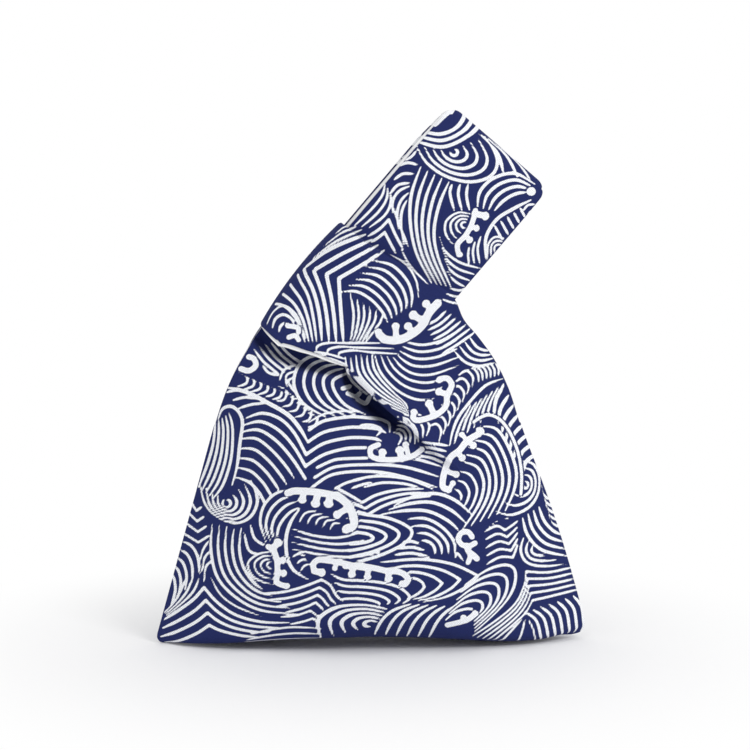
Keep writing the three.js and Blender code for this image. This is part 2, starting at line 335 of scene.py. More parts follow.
def body_rows():
    """Rows of the flat base, of its turn upwards and of the body, up to the top of the side seams."""
    rows = []
    for share in (0, 0.5, 1):
        corners = [corner_point(side, share * CORNER_SHARE) for side in LEFT_AND_RIGHT]
        rows.append(body_row(0, share * BASE_DEPTH / 2, *corners, power=BASE_POWER))
    for degrees in (27, 54, 78):
        turn = math.radians(degrees)
        level = TURN_HEIGHT * (1 - math.cos(turn))
        sides = [
            side_point(side, lerp(corner_radius(side), level, level / TURN_HEIGHT))
            for side in LEFT_AND_RIGHT
        ]
        pillow = lerp(BASE_DEPTH, TURN_DEPTH, math.sin(turn)) / 2
        power = lerp(BASE_POWER, BODY_POWER, math.sin(turn))
        rows.append(body_row(level, pillow, *sides, power=power))
    # share of the side seam's height, and degrees that the pleat has turned
    upper = ((0.31, 0), (0.46, 0), (0.61, 0), (0.74, 0), (0.84, 35), (0.92, 80))
    for share, degrees in upper:
        level = share * SEAM_HEIGHT
        sides = [side_point(side, level) for side in LEFT_AND_RIGHT]
        rows.append(body_row(level, belly_at(level), *sides, turn=math.radians(degrees)))
    return rows


def shoulder_rows():
    """Rows from the top of the side seams to the knot, where the pleat lies folded flat."""
    left_root = in_knot(LEFT_ROOT_ALONG, -STRAP_LEFT)
    mouth_left = in_knot(MOUTH_ALONG, STRAP_RIGHT)
    left_top = side_point(-1, SEAM_HEIGHT)
    right_top = side_point(1, SEAM_HEIGHT)
    ring_back = RING_DEPTH - PLY
    rows = []
    stages = (
        # shares: rise, hidden edge, front crease, pillow, edge depth, middle depth; degrees of the folds
        (0.06, 0, 0, 0.9, 0.1, 0, 122),
        (0.34, 0.28, 0.33, 0.6, 0.45, 0.25, FOLDED_FLAT),
        (0.6, 0.55, 0.67, 0.3, 0.8, 0.6, FOLDED_FLAT),
        (0.82, 0.78, 1, 0.1, 1, 1, FOLDED_FLAT),
    )
    for rise, hidden, front, pillow, edge, middle, degrees in stages:
        turn = math.radians(degrees)
        width, step = pleat_size(turn)
        aside = 0 if degrees == FOLDED_FLAT else width / 2
        rows.append({
            "level": None,
            "pillow": pillow * SHOULDER_DEPTH / 2,
            "power": BODY_POWER,
            "left_edge": bowed(left_top, left_root, LEFT_SHOULDER_BOW, rise),
            "right_edge": bowed(right_top, RIGHT_ROOT, -RIGHT_SHOULDER_BOW, rise),
            "left_end": bowed(PINCH, mouth_left, MOUTH_BOW, hidden) + LEFTWARDS * aside,
            "right_start": crease_point(front) - LEFTWARDS * aside,
            "left_depth": lerp(SEAM_DEPTH, LOOP_EDGE_DEPTH, edge),
            "right_depth": lerp(SEAM_DEPTH, ring_back, edge),
            "middle": lerp(SEAM_DEPTH, ring_back, middle),
            "step": step,
            "turn": turn,
        })
    return rows


def share_across(row, point):
    """How far a point is towards the left or right edge of its row, from -1 to 1."""
    if row["level"] is None:
        return PINCH[0] / (SEAM_TOP_WIDTH / 2)
    left, right = row["left_edge"][0], row["right_edge"][0]
    return (2 * point[0] - left - right) / (right - left)


def column_places(count):
    """Columns of a half panel, a little closer together near its two edges."""
    even = np.linspace(0, 1, count + 1)
    return even - COLUMN_CROWDING / (2 * math.pi) * np.sin(2 * math.pi * even)


def arch_over(run):
    """0 at both ends of a row and 1 in its middle."""
    return 1 - (2 * run - 1) ** 2


def half_row(row, ends, shares, depths, ease, columns):
    """Points of a row on one side of the pleat."""
    run = column_places(columns)
    share = lerp(*shares, run)
    x, z = (lerp(start, end, run) for start, end in zip(*ends))
    if row["level"] is not None:
        edge = np.where(share < 0, row["left_edge"][1], row["right_edge"][1])
        lift = np.maximum(0, (np.abs(share) - FLAT_SHARE) / (1 - FLAT_SHARE))
        z = lerp(row["level"], edge, lift ** 2)
    depth = row["pillow"] * (1 - np.abs(share) ** row["power"]) + lerp(*depths, run ** ease)
    return np.column_stack([x, -depth, z])


def pleat_row(row, before, after):
    """The pleat between the two halves: a flat strip where it starts, and two round folds above that."""
    count = 2 * FOLD_COLUMNS + 1
    if row["turn"] == 0:
        share = np.arange(1, count + 1)[:, None] / (count + 1)
        return lerp(before, after, share)
    rightwards = row["right_edge"] - row["left_edge"]
    rightwards = rightwards / np.linalg.norm(rightwards)
    angle = row["turn"] * np.arange(1, FOLD_COLUMNS + 1) / FOLD_COLUMNS

    def bend(point, way, radius, forward):
        bent = np.repeat(point[None], FOLD_COLUMNS, axis=0)
        bent[:, [0, 2]] += np.outer(radius * np.sin(angle), way)
        bent[:, 1] -= forward * radius * (1 - np.cos(angle))
        return bent

    hidden = bend(before, rightwards, FOLD_BACK, 1)
    front = bend(after, SQUARE_TO_CREASE, FOLD_FRONT, -1)[::-1]
    between = (hidden[-1] + front[0]) / 2
    return np.vstack([hidden, between[None], front])


def body_points(row):
    """Points of a row's left half, of its pleat and of its right half."""
    left_shares = (-1, share_across(row, row["left_end"]))
    right_shares = (share_across(row, row["right_start"]), 1)
    left_depths = (row["left_depth"], row["middle"] - row["step"] / 2)
    right_depths = (row["middle"] + row["step"] / 2, row["right_depth"])
    left_ends = (row["left_edge"], row["left_end"])
    right_ends = (row["right_start"], row["right_edge"])
    left = half_row(row, left_ends, left_shares, left_depths, LEFT_EASE, LEFT_COLUMNS)
    right = half_row(row, right_ends, right_shares, right_depths, RIGHT_EASE, RIGHT_COLUMNS)
    return left, pleat_row(row, left[-1], right[0]), right


def loop_points(start, end, depth, bulge, columns):
    """Points of a row across a handle loop."""
    run = column_places(columns)
    place = lerp(start[None], end[None], run[:, None])
    return np.column_stack([place[:, 0], -(depth + bulge * arch_over(run)), place[:, 1]])


def long_loop_rows():
    # places of the left and the right edge along the knot, and how far the loop is open
    slanted = ((-0.5, 0.75), (0.2, 1.04), (0.9, 1.33), (1.32, 1.65), (1.85, 2.05))
    rows = [(LEFT_ROOT_ALONG, MOUTH_ALONG, 1)] + [(left, right, 1) for left, right in slanted]
    round_start = LONG_REACH - LONG_END_ROUND
    for degrees in (0, 30, 55, 75, 90):
        turn = math.radians(degrees)
        along = (round_start + LONG_END_ROUND * math.sin(turn)) / HALF_STRAP
        rows.append((along, along, math.cos(turn)))
    points = []
    for left, right, opened in rows:
        edge = lerp(SEAM_DEPTH, LOOP_EDGE_DEPTH, opened)
        bulge = (LOOP_MID_DEPTH - LOOP_EDGE_DEPTH) * opened
        ends = in_knot(left, -STRAP_LEFT), in_knot(right, STRAP_RIGHT)
        points.append(loop_points(*ends, edge, bulge, LEFT_COLUMNS))
    return points


def short_loop_rows():
    # lower and upper end of a row, along and across the knot, and how far the ring is open
    rows = [
        ((-0.75, 0), RIGHT_ROOT_PLACE, 1),
        ((-0.855, -0.26), (1.13, 0.87), 1),
        ((-0.93, -0.46), (1.06, 0.3), 1),
        ((-0.98, -0.56), (0.97, -0.2), 1),
    ]
    reach = HALF_STRAP + RING_SLACK
    for degrees in (0, 22, 44, 64, 80, 90):
        turn = math.radians(degrees)
        across = -(reach - RING_END_ROUND * (1 - math.sin(turn))) / HALF_STRAP
        lower = (RING_LOWER_ALONG, across + RING_SKEW)
        upper = (RING_UPPER_ALONG, across)
        rows.append((lower, upper, math.cos(turn)))
    arch = arch_over(column_places(RIGHT_COLUMNS))[:, None]
    points = []
    for lower, upper, opened in rows:
        depth = lerp(SEAM_DEPTH, RING_DEPTH, opened)
        row = loop_points(in_knot(*lower), in_knot(*upper), depth, 0, RIGHT_COLUMNS)
        row[:, [0, 2]] -= RING_BOW * (1 - opened) * arch * ACROSS
        points.append(row)
    return points


# The cloth's grid


def row_spans(rows):
    """How far each row is from the one before."""
    return np.array([np.linalg.norm(b - a, axis=1).mean() for a, b in zip(rows, rows[1:])])


def fine_counts(rows):
    """Finer rows in each span, in multiples of PLAIN_STEP, so that the plain back shares their ends."""
    return PLAIN_STEP * np.ceil(row_spans(rows) / (PLAIN_STEP * ROW_SPACING)).astype(int)


def curve_between(start, end, start_way, end_way, s):
    """The place at a share of a smooth curve between two points, with its way through each of them."""
    return (
        start * (2 * s ** 3 - 3 * s ** 2 + 1)
        + start_way * (s ** 3 - 2 * s ** 2 + s)
        + end * (3 * s ** 2 - 2 * s ** 3)
        + end_way * (s ** 3 - s ** 2)
    )


def loft(rows, counts):
    """A smooth surface through rows of points, with a number of finer rows in each span."""
    rows = np.array(rows)
    spans = row_spans(rows)[:, None, None]
    slopes = (rows[1:] - rows[:-1]) / spans
    tangents = np.empty_like(rows)
    tangents[0] = slopes[0]
    tangents[-1] = slopes[-1]
    tangents[1:-1] = (slopes[:-1] * spans[1:] + slopes[1:] * spans[:-1]) / (spans[1:] + spans[:-1])
    fine = []
    for i, count in enumerate(counts):
        ways = tangents[i] * spans[i], tangents[i + 1] * spans[i]
        for s in np.arange(count) / count:
            fine.append(curve_between(rows[i], rows[i + 1], *ways, s))
    fine.append(rows[-1])
    fine = np.array(fine)
    fine[..., 2] = np.maximum(fine[..., 2], 0)
    return fine


def lengths_across(strip):
    """Each point's distance along its row from the row's first point."""
    steps = np.linalg.norm(np.diff(strip, axis=1), axis=2)
    return np.hstack([np.zeros((len(strip), 1)), np.cumsum(steps, axis=1)])


def lengths_along(strip):
    """Each point's distance along its column from the first row."""
    steps = np.linalg.norm(np.diff(strip, axis=0), axis=2)
    return np.vstack([np.zeros((1, strip.shape[1])), np.cumsum(steps, axis=0)])


def in_view(points):
    """Places of points in the front view, right and down of the sight point and at its distance."""
    offset = points - SIGHT
    scale = VIEW_DISTANCE / (VIEW_DISTANCE - offset @ VIEW_BACK)
    return np.stack([(offset @ VIEW_RIGHT) * scale, -(offset @ VIEW_UP) * scale], axis=-1)


def run_on(places, strip, rows, way):
    """Carries the print on by the cloth's length, from the first of some rows that turn out of view."""
    places[rows] = places[rows][0] + lengths_along(strip[rows])[..., None] * np.array(way)


def rounded_corner(strip, side, radius):
    """Rounds a corner at the end of the long loop."""
    offset = strip[..., [0, 2]] - KNOT
    along = offset @ ALONG - (LONG_REACH - radius)
    edge = HALF_STRAP * (STRAP_RIGHT if side > 0 else STRAP_LEFT)
    across = side * (offset @ ACROSS) - (edge - radius)
    inside = (along > 0) & (across > 0)
    reach = np.hypot(along, across)
    share = np.where(inside, np.maximum(along, across) / np.maximum(reach, TINY), 1)
    shift = np.where(inside, share - 1, 0)[..., None]
    strip[..., [0, 2]] += shift * (along[..., None] * ALONG + side * across[..., None] * ACROSS)


def sunk(points, start, way, bow, width, depth):
    """How far points sink into a hollow below a line, seen from the front and bowed as the crease is."""
    offset = points[..., [0, 2]] - start
    share = np.clip(offset @ way / (way @ way), 0, 1)
    square = np.array([way[1], -way[0]]) / np.linalg.norm(way)
    square *= -np.sign(square[1])
    below = offset @ square - bow * np.sin(math.pi * share ** CREASE_SKEW)
    opened = np.sqrt(np.sin(math.pi * share))
    wall = 1 - smoothstep(below / (width * opened + FOLD_FRONT), *HOLLOW_WALL)
    behind = 1 - smoothstep(-below, *HOLLOW_BEHIND)
    return depth * opened * wall * behind


def spread(grid, steps):
    """The greatest value within a few steps of each one."""
    size = 2 * steps + 1
    padded = np.pad(grid, steps, mode="edge")
    return np.lib.stride_tricks.sliding_window_view(padded, (size, size)).max(axis=(2, 3))


class Panel:
    """One panel of the bag as a grid of points, with what each point knows of the panel's edges."""

    def __init__(self):
        seamed_rows = body_rows()
        rows = [body_points(row) for row in seamed_rows + shoulder_rows()]
        left, pleat, right = (list(column) for column in zip(*rows))
        body_counts = np.maximum(fine_counts(left), fine_counts(right))
        long_rows = left + long_loop_rows()
        ring_rows = right + short_loop_rows()
        long_counts = np.concatenate([body_counts, fine_counts(long_rows)[len(rows) - 1:]])
        ring_counts = np.concatenate([body_counts, fine_counts(ring_rows)[len(rows) - 1:]])
        self.seam_end = body_counts[:len(seamed_rows)].sum()
        self.mouth = body_counts.sum()
        self.left = loft(long_rows, long_counts)
        self.pleat = loft(pleat, body_counts)
        self.right = loft(ring_rows, ring_counts)
        rounded_corner(self.left, -1, LONG_LEFT_CORNER)
        rounded_corner(self.left, 1, LONG_RIGHT_CORNER)
        self.find_hollow()
        self.number()
        base_turn = body_counts[:BASE_TURN_ROW].sum()
        long_turn = long_counts[:len(rows) + LONG_TURN_ROW].sum()
        ring_turn = ring_counts[:len(rows) + RING_TURN_ROW].sum()
        self.place_print(base_turn, long_turn, ring_turn)
        self.find_edges()

    def strips(self):
        return self.left, self.pleat, self.right

    def find_hollow(self):
        """How far each point sinks below the crease and the ring's lip, where the cloth is drawn in."""
        crease = sunk(self.left, PINCH, CREASE, CREASE_BOW, HOLLOW_WIDTH, HOLLOW_DEPTH)
        lip = sunk(self.left, LIP_START, LIP_WAY, 0, SLOT_WIDTH, SLOT_DEPTH)
        left = np.maximum(crease, lip)
        body, count = self.pleat.shape[:2]
        fade = 1 - smoothstep(np.arange(1, count + 1), 0, count * PLEAT_FADE)
        sinks = left, left[:body, -1:] * fade, np.zeros(self.right.shape[:2])
        deepest = [-strip[..., 1] * (1 + HOLLOW_FLOOR) for strip in self.strips()]
        self.sinks = [np.minimum(sink, depth) for sink, depth in zip(sinks, deepest)]
        self.sink = np.concatenate([sink.ravel() for sink in self.sinks])
        self.inner_sink = np.concatenate([spread(sink, PLAIN_STEP).ravel() for sink in self.sinks])

    def number(self):
        """Numbers the points and joins them into faces, fine and plain."""
        starts = np.cumsum([0] + [strip[..., 0].size for strip in self.strips()])
        left, pleat, right = (
            np.arange(start, end).reshape(strip.shape[:2])
            for start, end, strip in zip(starts, starts[1:], self.strips())
        )
        body = len(pleat)
        grids = (left, np.hstack([left[:body, -1:], pleat, right[:body, :1]]), right)
        self.points = np.vstack([strip.reshape(-1, 3) for strip in self.strips()])
        self.faces = np.vstack([grid_faces(grid) for grid in grids])
        self.plain_faces = np.vstack([grid_faces(grid[::PLAIN_STEP, ::PLAIN_STEP]) for grid in grids])
        self.on_right = np.arange(starts[-1]) >= starts[2]

    def place_print(self, base_turn, long_turn, ring_turn):
        """Places the print as the front view sees it, and runs it on where the cloth turns away."""
        places = []
        for strip, sink in zip(self.strips(), self.sinks):
            places.append(in_view(strip + sink[..., None] * [0, 1, 0]))
        run_on(places[0], self.left, slice(long_turn, None), (ALONG[0], -ALONG[1]))
        run_on(places[2], self.right, slice(ring_turn, None), (-ACROSS[0], ACROSS[1]))
        for strip_places, strip in zip(places, self.strips()):
            run_on(strip_places, strip, slice(base_turn, None, -1), (0, 1))
        self.places = np.vstack([strip_places.reshape(-1, 2) for strip_places in places])

    def find_edges(self):
        """Each point's gap to the nearest free edge, the way to it, and its share along a loop's edge."""
        gaps, ways, loop_shares = [], [], []
        free_from = ((self.left, self.seam_end, self.mouth), (self.right, self.mouth, self.seam_end))
        for strip, first_free, last_free in free_from:
            rows = np.arange(len(strip))[:, None]
            run = lengths_across(strip)
            first = np.where(rows >= first_free, run, FAR)
            last = np.where(rows >= last_free, run[:, -1:] - run, FAR)
            step = np.gradient(strip, axis=1)
            step /= np.maximum(np.linalg.norm(step, axis=2, keepdims=True), TINY)
            gaps.append(np.minimum(first, last))
            ways.append(np.where((first < last)[..., None], -step, step))
            share = np.clip((rows - self.mouth) / (len(strip) - 1 - self.mouth), 0, 1)
            loop_shares.append(np.where(first < last, share, 0))
        gaps.insert(1, lengths_along(self.pleat[::-1])[::-1])
        ways.insert(1, np.zeros_like(self.pleat))
        loop_shares.insert(1, np.zeros_like(gaps[1]))
        self.gap = np.concatenate([grid.ravel() for grid in gaps])
        self.way = np.vstack([grid.reshape(-1, 3) for grid in ways])
        self.loop_share = np.concatenate([grid.ravel() for grid in loop_shares])


def grid_faces(index):
    corners = index[:-1, :-1], index[:-1, 1:], index[1:, 1:], index[1:, :-1]
    return np.stack(corners, axis=-1).reshape(-1, 4)


def soft_waves(points, seed):
    """A gentle uneven swell over the cloth, about 1 in size."""
    rng = np.random.default_rng(seed)
    swell = np.zeros(len(points))
    for _ in range(SWELL_WAVES):
        way = rng.uniform(0, 2 * math.pi)
        length = rng.uniform(*SWELL_LENGTHS)
        phase = rng.uniform(0, 2 * math.pi)
        run = points[:, 0] * math.cos(way) + points[:, 2] * math.sin(way)
        swell += np.sin(2 * math.pi * run / length + phase)
    return swell / math.sqrt(SWELL_WAVES)


def settled(panel, seed):
    """The panel's points with the arch of the base, the swell of soft cloth and the pleat's gathers."""
    points = panel.points.copy()
    x, y, z = panel.points.T
    clear_of_seams = smoothstep(-y, *CLEAR_OF_SEAMS)
    swell = BODY_SWELL * soft_waves(points, seed)
    from_pinch = np.hypot(x - PINCH[0], z - PINCH[1])
    turn = np.arctan2(z - PINCH[1], x - PINCH[0])
    gathers = np.sin(GATHER_COUNT * turn) * smoothstep(from_pinch, *GATHER_START)
    gathers *= 1 - smoothstep(from_pinch, *GATHER_END)
    points[:, 1] -= clear_of_seams * (swell + GATHER_SIZE * panel.on_right * gathers)
    arch = BASE_ARCH * np.cos(np.clip((x - ARCH_MIDDLE) / ARCH_REACH, -1, 1) * math.pi / 2)
    lift = arch + RIGHT_CORNER_LIFT * smoothstep(x, *CORNER_LIFT_RUN)
    points[:, 2] += lift * np.clip(1 - z / ARCH_HEIGHT, 0, 1) ** 2
    return points


# Plies of cloth, as closed meshes


def sheet_normals(points, faces):
    a, b, c, d = (points[corner] for corner in faces.T)
    facing = np.cross(c - a, d - b)
    normals = np.zeros_like(points)
    for corner in faces.T:
        np.add.at(normals, corner, facing)
    return normals / np.maximum(np.linalg.norm(normals, axis=1, keepdims=True), TINY)


def moved_in(points, normals, distance):
    """Points moved into the bag square to the cloth, without crossing the plane of the seams."""
    inward = -normals
    level = inward * [1, 0, 1]
    level_length = np.maximum(np.linalg.norm(level, axis=1), LEAST_LEVEL)
    back = np.minimum(inward[:, 1] * distance, -SEAM_DEPTH - points[:, 1])
    sideways = (distance - back * inward[:, 1]) / level_length
    sideways = np.clip(sideways, -MOST_SIDEWAYS * distance, MOST_SIDEWAYS * distance)
    moved = points + level * (sideways / level_length)[:, None]
    moved[:, 1] += back
    return moved


def free_edges(faces, count):
    """Starts and ends of the edges that only one face has."""
    start = faces.ravel()
    end = np.roll(faces, -1, axis=1).ravel()
    free = ~np.isin(end * count + start, start * count + end)
    return start[free].tolist(), end[free].tolist()


def rim_edges(panel, fine):
    """The face's points beside each free edge of the plain back, in a chain against the faces' turn."""
    count = len(panel.points)
    after = dict(zip(*free_edges(panel.faces, count)))
    for start, end in zip(*free_edges(panel.plain_faces, count)):
        chain = [start]
        while fine and after[chain[-1]] != end:
            chain.append(after[chain[-1]])
        yield [end] + chain[::-1]


def ply_mesh(name, panel, face, back, fine, mirrored):
    """A closed ply of cloth between a face and a plain back, each given for every point of the panel."""
    plain = np.unique(panel.plain_faces)
    kept = np.arange(len(panel.points)) if fine else plain
    face_of = np.full(len(panel.points), -1)
    face_of[kept] = np.arange(len(kept))
    back_of = np.full(len(panel.points), -1)
    back_of[plain] = len(kept) + np.arange(len(plain))
    polygons = face_of[panel.faces if fine else panel.plain_faces].tolist()
    polygons += back_of[panel.plain_faces][:, ::-1].tolist()
    for chain in rim_edges(panel, fine):
        polygons.append(face_of[chain].tolist() + [int(back_of[chain[-1]]), int(back_of[chain[0]])])
    corners = np.vstack([face[kept], back[plain]])
    if mirrored:
        corners = corners * [1, -1, 1]
        polygons = [polygon[::-1] for polygon in polygons]
    mesh = bpy.data.meshes.new(name)
    mesh.from_pydata(corners * MM, [], polygons)
    mesh.polygons.foreach_set("use_smooth", [True] * len(mesh.polygons))
    mesh.set_sharp_from_angle(angle=SHARP_EDGE)
    places = panel.places[np.concatenate([kept, plain])]
    flat_places = np.column_stack([places, np.zeros(len(places))])
    put_numbers(mesh, "cloth_place", "FLOAT_VECTOR", "vector", flat_places)
    if fine:
        put_numbers(mesh, "ink", "FLOAT", "value", print_ink(places))
    piece = bpy.data.objects.new(name, mesh)
    bpy.context.collection.objects.link(piece)
    return piece


def put_numbers(mesh, name, kind, field, values):
    """Keeps a value for each point of a mesh under a name that materials can read."""
    numbers = np.ascontiguousarray(values, np.float32).ravel()
    mesh.attributes.new(name, kind, "POINT").data.foreach_set(field, numbers)


def edge_shift(panel, ring, strap):
    """How far the cloth reaches past the outlines of the ring's lower edge and the strap's left edge."""
    near = np.clip(1 - panel.gap / LIP_RUN, 0, 1)
    along_ring = np.sin(math.pi * panel.loop_share ** LIP_SKEW)
    rise = np.clip(panel.loop_share * STRAP_EDGE_RISE, 0, 1)
    fall = np.clip((1 - panel.loop_share) * STRAP_EDGE_RISE, 0, 1)
    along_strap = rise * fall
    reach = np.where(panel.on_right, ring * along_ring, strap * along_strap) * near
    return panel.way * reach[:, None]


# Wave print. Each set of strokes fans out from a first line to a last one, in the units of its sheet.
# A set holds the width of a stroke, how many there are, which of their tips are thin, and the two lines.

LEFT_SHOULDER_STROKES = {
    "capsule stripes": (18, 5, "both", [(330, 420), (320, 520), (290, 630), (245, 745)],
                        [(400, 370), (418, 450), (410, 600), (370, 730), (320, 800)]),
    "capsule outline": (21, 1, "both", [(345, 400), (365, 350), (410, 335), (450, 365), (468, 420),
                                        (455, 520), (440, 640), (415, 735)], None),
    "hill outline": (26, 1, "both", [(385, 240), (480, 260), (600, 320), (700, 380), (760, 450),
                                     (800, 520)], None),
    "shoulder": (17, 3, "both", [(385, 265), (450, 255), (530, 290)],
                 [(450, 345), (520, 325), (610, 320)]),
    "hill, upper": (20, 3, "start", [(485, 395), (570, 370), (660, 400), (730, 470), (790, 580)],
                    [(465, 465), (550, 455), (640, 510), (720, 600), (785, 700)]),
    "hill, lower": (19, 5, "both", [(462, 500), (540, 500), (620, 560), (690, 640), (730, 700)],
                    [(435, 695), (500, 720), (550, 770), (575, 815), (580, 830)]),
    "valley, top": (13, 1, "both", [(800, 420), (880, 375), (980, 360), (1062, 365)], None),
    "valley, upper": (20, 4, "none", [(805, 455), (880, 410), (1000, 390), (1062, 390)],
                      [(790, 635), (880, 580), (990, 550), (1062, 545)]),
    "valley, lower": (19, 3, "none", [(845, 645), (930, 608), (1000, 600), (1062, 598)],
                      [(820, 745), (900, 690), (980, 670), (1062, 664)]),
    "valley, last": (17, 2, "both", [(930, 755), (1000, 720), (1100, 695)],
                     [(1020, 750), (1070, 732), (1120, 720)]),
    "crescents": (16, 6, "both", [(445, 165), (490, 190), (485, 220), (440, 235)],
                  [(640, 250), (665, 265), (655, 290), (620, 300)]),
    "lower crescents": (15, 6, "both", [(650, 235), (690, 255), (680, 300), (640, 310)],
                        [(800, 370), (845, 390), (835, 430), (800, 440)]),
    "under the ring": (17, 5, "both", [(525, 45), (575, 110), (640, 165), (650, 180)],
                       [(640, 0), (690, 60), (740, 100), (770, 115)]),
    "under the ring, last": (17, 1, "both", [(570, 130), (600, 165), (650, 180)], None),
    "big bend": (20, 5, "both", [(890, 76), (805, 86), (748, 135), (728, 225), (775, 320), (890, 390)],
                 [(1005, 168), (962, 182), (925, 208), (935, 260), (990, 330), (1090, 375)]),
    "top of the bend": (17, 2, "both", [(830, 60), (900, 70), (985, 95)],
                        [(860, 90), (920, 95), (1000, 130)]),
    "beside the bend": (15, 3, "both", [(740, 125), (680, 150), (655, 205)],
                        [(725, 190), (700, 210), (730, 265)]),
}
LEFT_SHOULDER_FOAM = {
    "bands": [
        (28, [(460, 145), (500, 155), (535, 130), (525, 95), (500, 85)]),
        (22, [(975, 245), (1010, 235)]),
        (22, [(1000, 270), (1040, 285), (1060, 270)]),
        (22, [(1050, 300), (1090, 320), (1110, 290)]),
    ],
    "knobs": [],
}

BASE_LEFT_STROKES = {
    "eye": (17, 5, "both", [(215, 20), (240, 110), (300, 165), (370, 185), (430, 160), (460, 105),
                            (455, 55), (432, 0)],
            [(318, 82), (312, 100), (322, 115), (338, 115), (346, 104), (344, 92), (338, 86), (330, 84)]),
    "edge points, left": (13, 4, "start", [(178, 98), (200, 132)], [(140, 226), (208, 268)]),
    "edge points, right": (13, 4, "end", [(200, 132), (222, 115)], [(208, 268), (255, 238)]),
    "lens": (15, 5, "both", [(138, 262), (180, 285), (206, 335), (212, 405)],
             [(92, 400), (105, 430), (108, 480), (90, 540)]),
    "beside the lens": (13, 3, "both", [(252, 262), (228, 300), (215, 345)],
                        [(262, 350), (240, 375), (232, 440)]),
    "below the lens": (13, 3, "both", [(212, 420), (185, 480), (130, 535), (72, 580)],
                       [(150, 430), (130, 480), (100, 530), (60, 570)]),
    "long flow": (16, 5, "both", [(268, 190), (262, 300), (290, 420), (370, 510), (480, 570), (640, 590)],
                  [(392, 205), (384, 290), (398, 365), (428, 420), (458, 452), (486, 472)]),
    "short flow": (15, 2, "both", [(432, 192), (450, 250), (500, 285)],
                   [(405, 225), (425, 300), (470, 318)]),
    "peaks, left": (17, 4, "start", [(60, 600), (130, 555), (190, 510), (232, 462)],
                    [(40, 710), (120, 695), (200, 665), (255, 630)]),
    "peaks, right": (16, 4, "end", [(232, 462), (290, 530), (370, 590), (480, 625), (600, 632)],
                     [(255, 630), (290, 652), (340, 672), (400, 690), (470, 702)]),
    "small spiral": (12, 4, "both", [(535, 308), (470, 315), (422, 355), (440, 410), (490, 440),
                                     (540, 450)],
                     [(522, 352), (508, 354), (503, 364), (508, 374), (516, 378), (526, 378)]),
    "wave": (15, 4, "both", [(600, 42), (540, 58), (490, 110), (474, 185), (500, 268)],
             [(640, 118), (600, 140), (562, 185), (548, 225), (552, 250)]),
    "wave edge": (19, 1, "both", [(645, 122), (605, 180), (585, 250), (590, 330), (620, 390), (685, 432)],
                  None),
    "scales": (11, 5, "both", [(640, 185), (668, 142), (722, 132)], [(775, 215), (788, 188), (818, 186)]),
    "flow below the scales": (14, 4, "both", [(608, 208), (700, 238), (800, 248), (885, 232)],
                              [(612, 298), (740, 322), (860, 330), (985, 312)]),
    "small leaf": (12, 3, "both", [(612, 330), (640, 318), (668, 330)],
                   [(650, 392), (662, 370), (690, 362)]),
    "second peaks, left": (15, 4, "start", [(470, 490), (560, 486), (650, 465), (738, 430)],
                           [(590, 577), (640, 567), (680, 552), (712, 535)]),
    "second peaks, right": (15, 4, "end", [(738, 430), (775, 455), (800, 500), (830, 530)],
                            [(712, 535), (725, 548), (735, 558), (745, 572)]),
    "third peaks, left": (13, 2, "start", [(560, 602), (630, 596), (690, 574)],
                          [(600, 640), (660, 627), (700, 612)]),
    "third peaks, right": (13, 2, "end", [(690, 574), (708, 590), (722, 605)],
                           [(700, 612), (715, 626), (725, 640)]),
    "level stripes": (15, 4, "start", [(775, 402), (820, 425), (860, 431), (895, 431)],
                      [(820, 518), (850, 516), (875, 515), (895, 514)]),
    "below the flow": (12, 1, "both", [(262, 420), (302, 494), (371, 550), (479, 598)], None),
    "along the base": (13, 3, "both", [(430, 685), (520, 665), (620, 655), (735, 665)],
                       [(400, 738), (500, 728), (620, 720), (735, 722)]),
}
BASE_LEFT_FOAM = {
    "bands": [
        (30, [(592, 55), (625, 46), (700, 50), (765, 60), (812, 72)]),
        (34, [(800, 66), (845, 100), (872, 150), (875, 195), (842, 212)]),
        (24, [(508, 285), (530, 300), (545, 340), (548, 400), (545, 440), (585, 458)]),
        (25, [(706, 392), (702, 362), (724, 344), (770, 347), (830, 357), (885, 370), (930, 378)]),
    ],
    "knobs": [
        (655, 82, 19), (712, 98, 21), (768, 98, 22), (806, 148, 19), (852, 208, 20),
        (548, 270, 20), (568, 345, 17), (572, 400, 17), (588, 457, 14),
        (735, 398, 20), (795, 378, 13), (868, 402, 18),
    ],
}

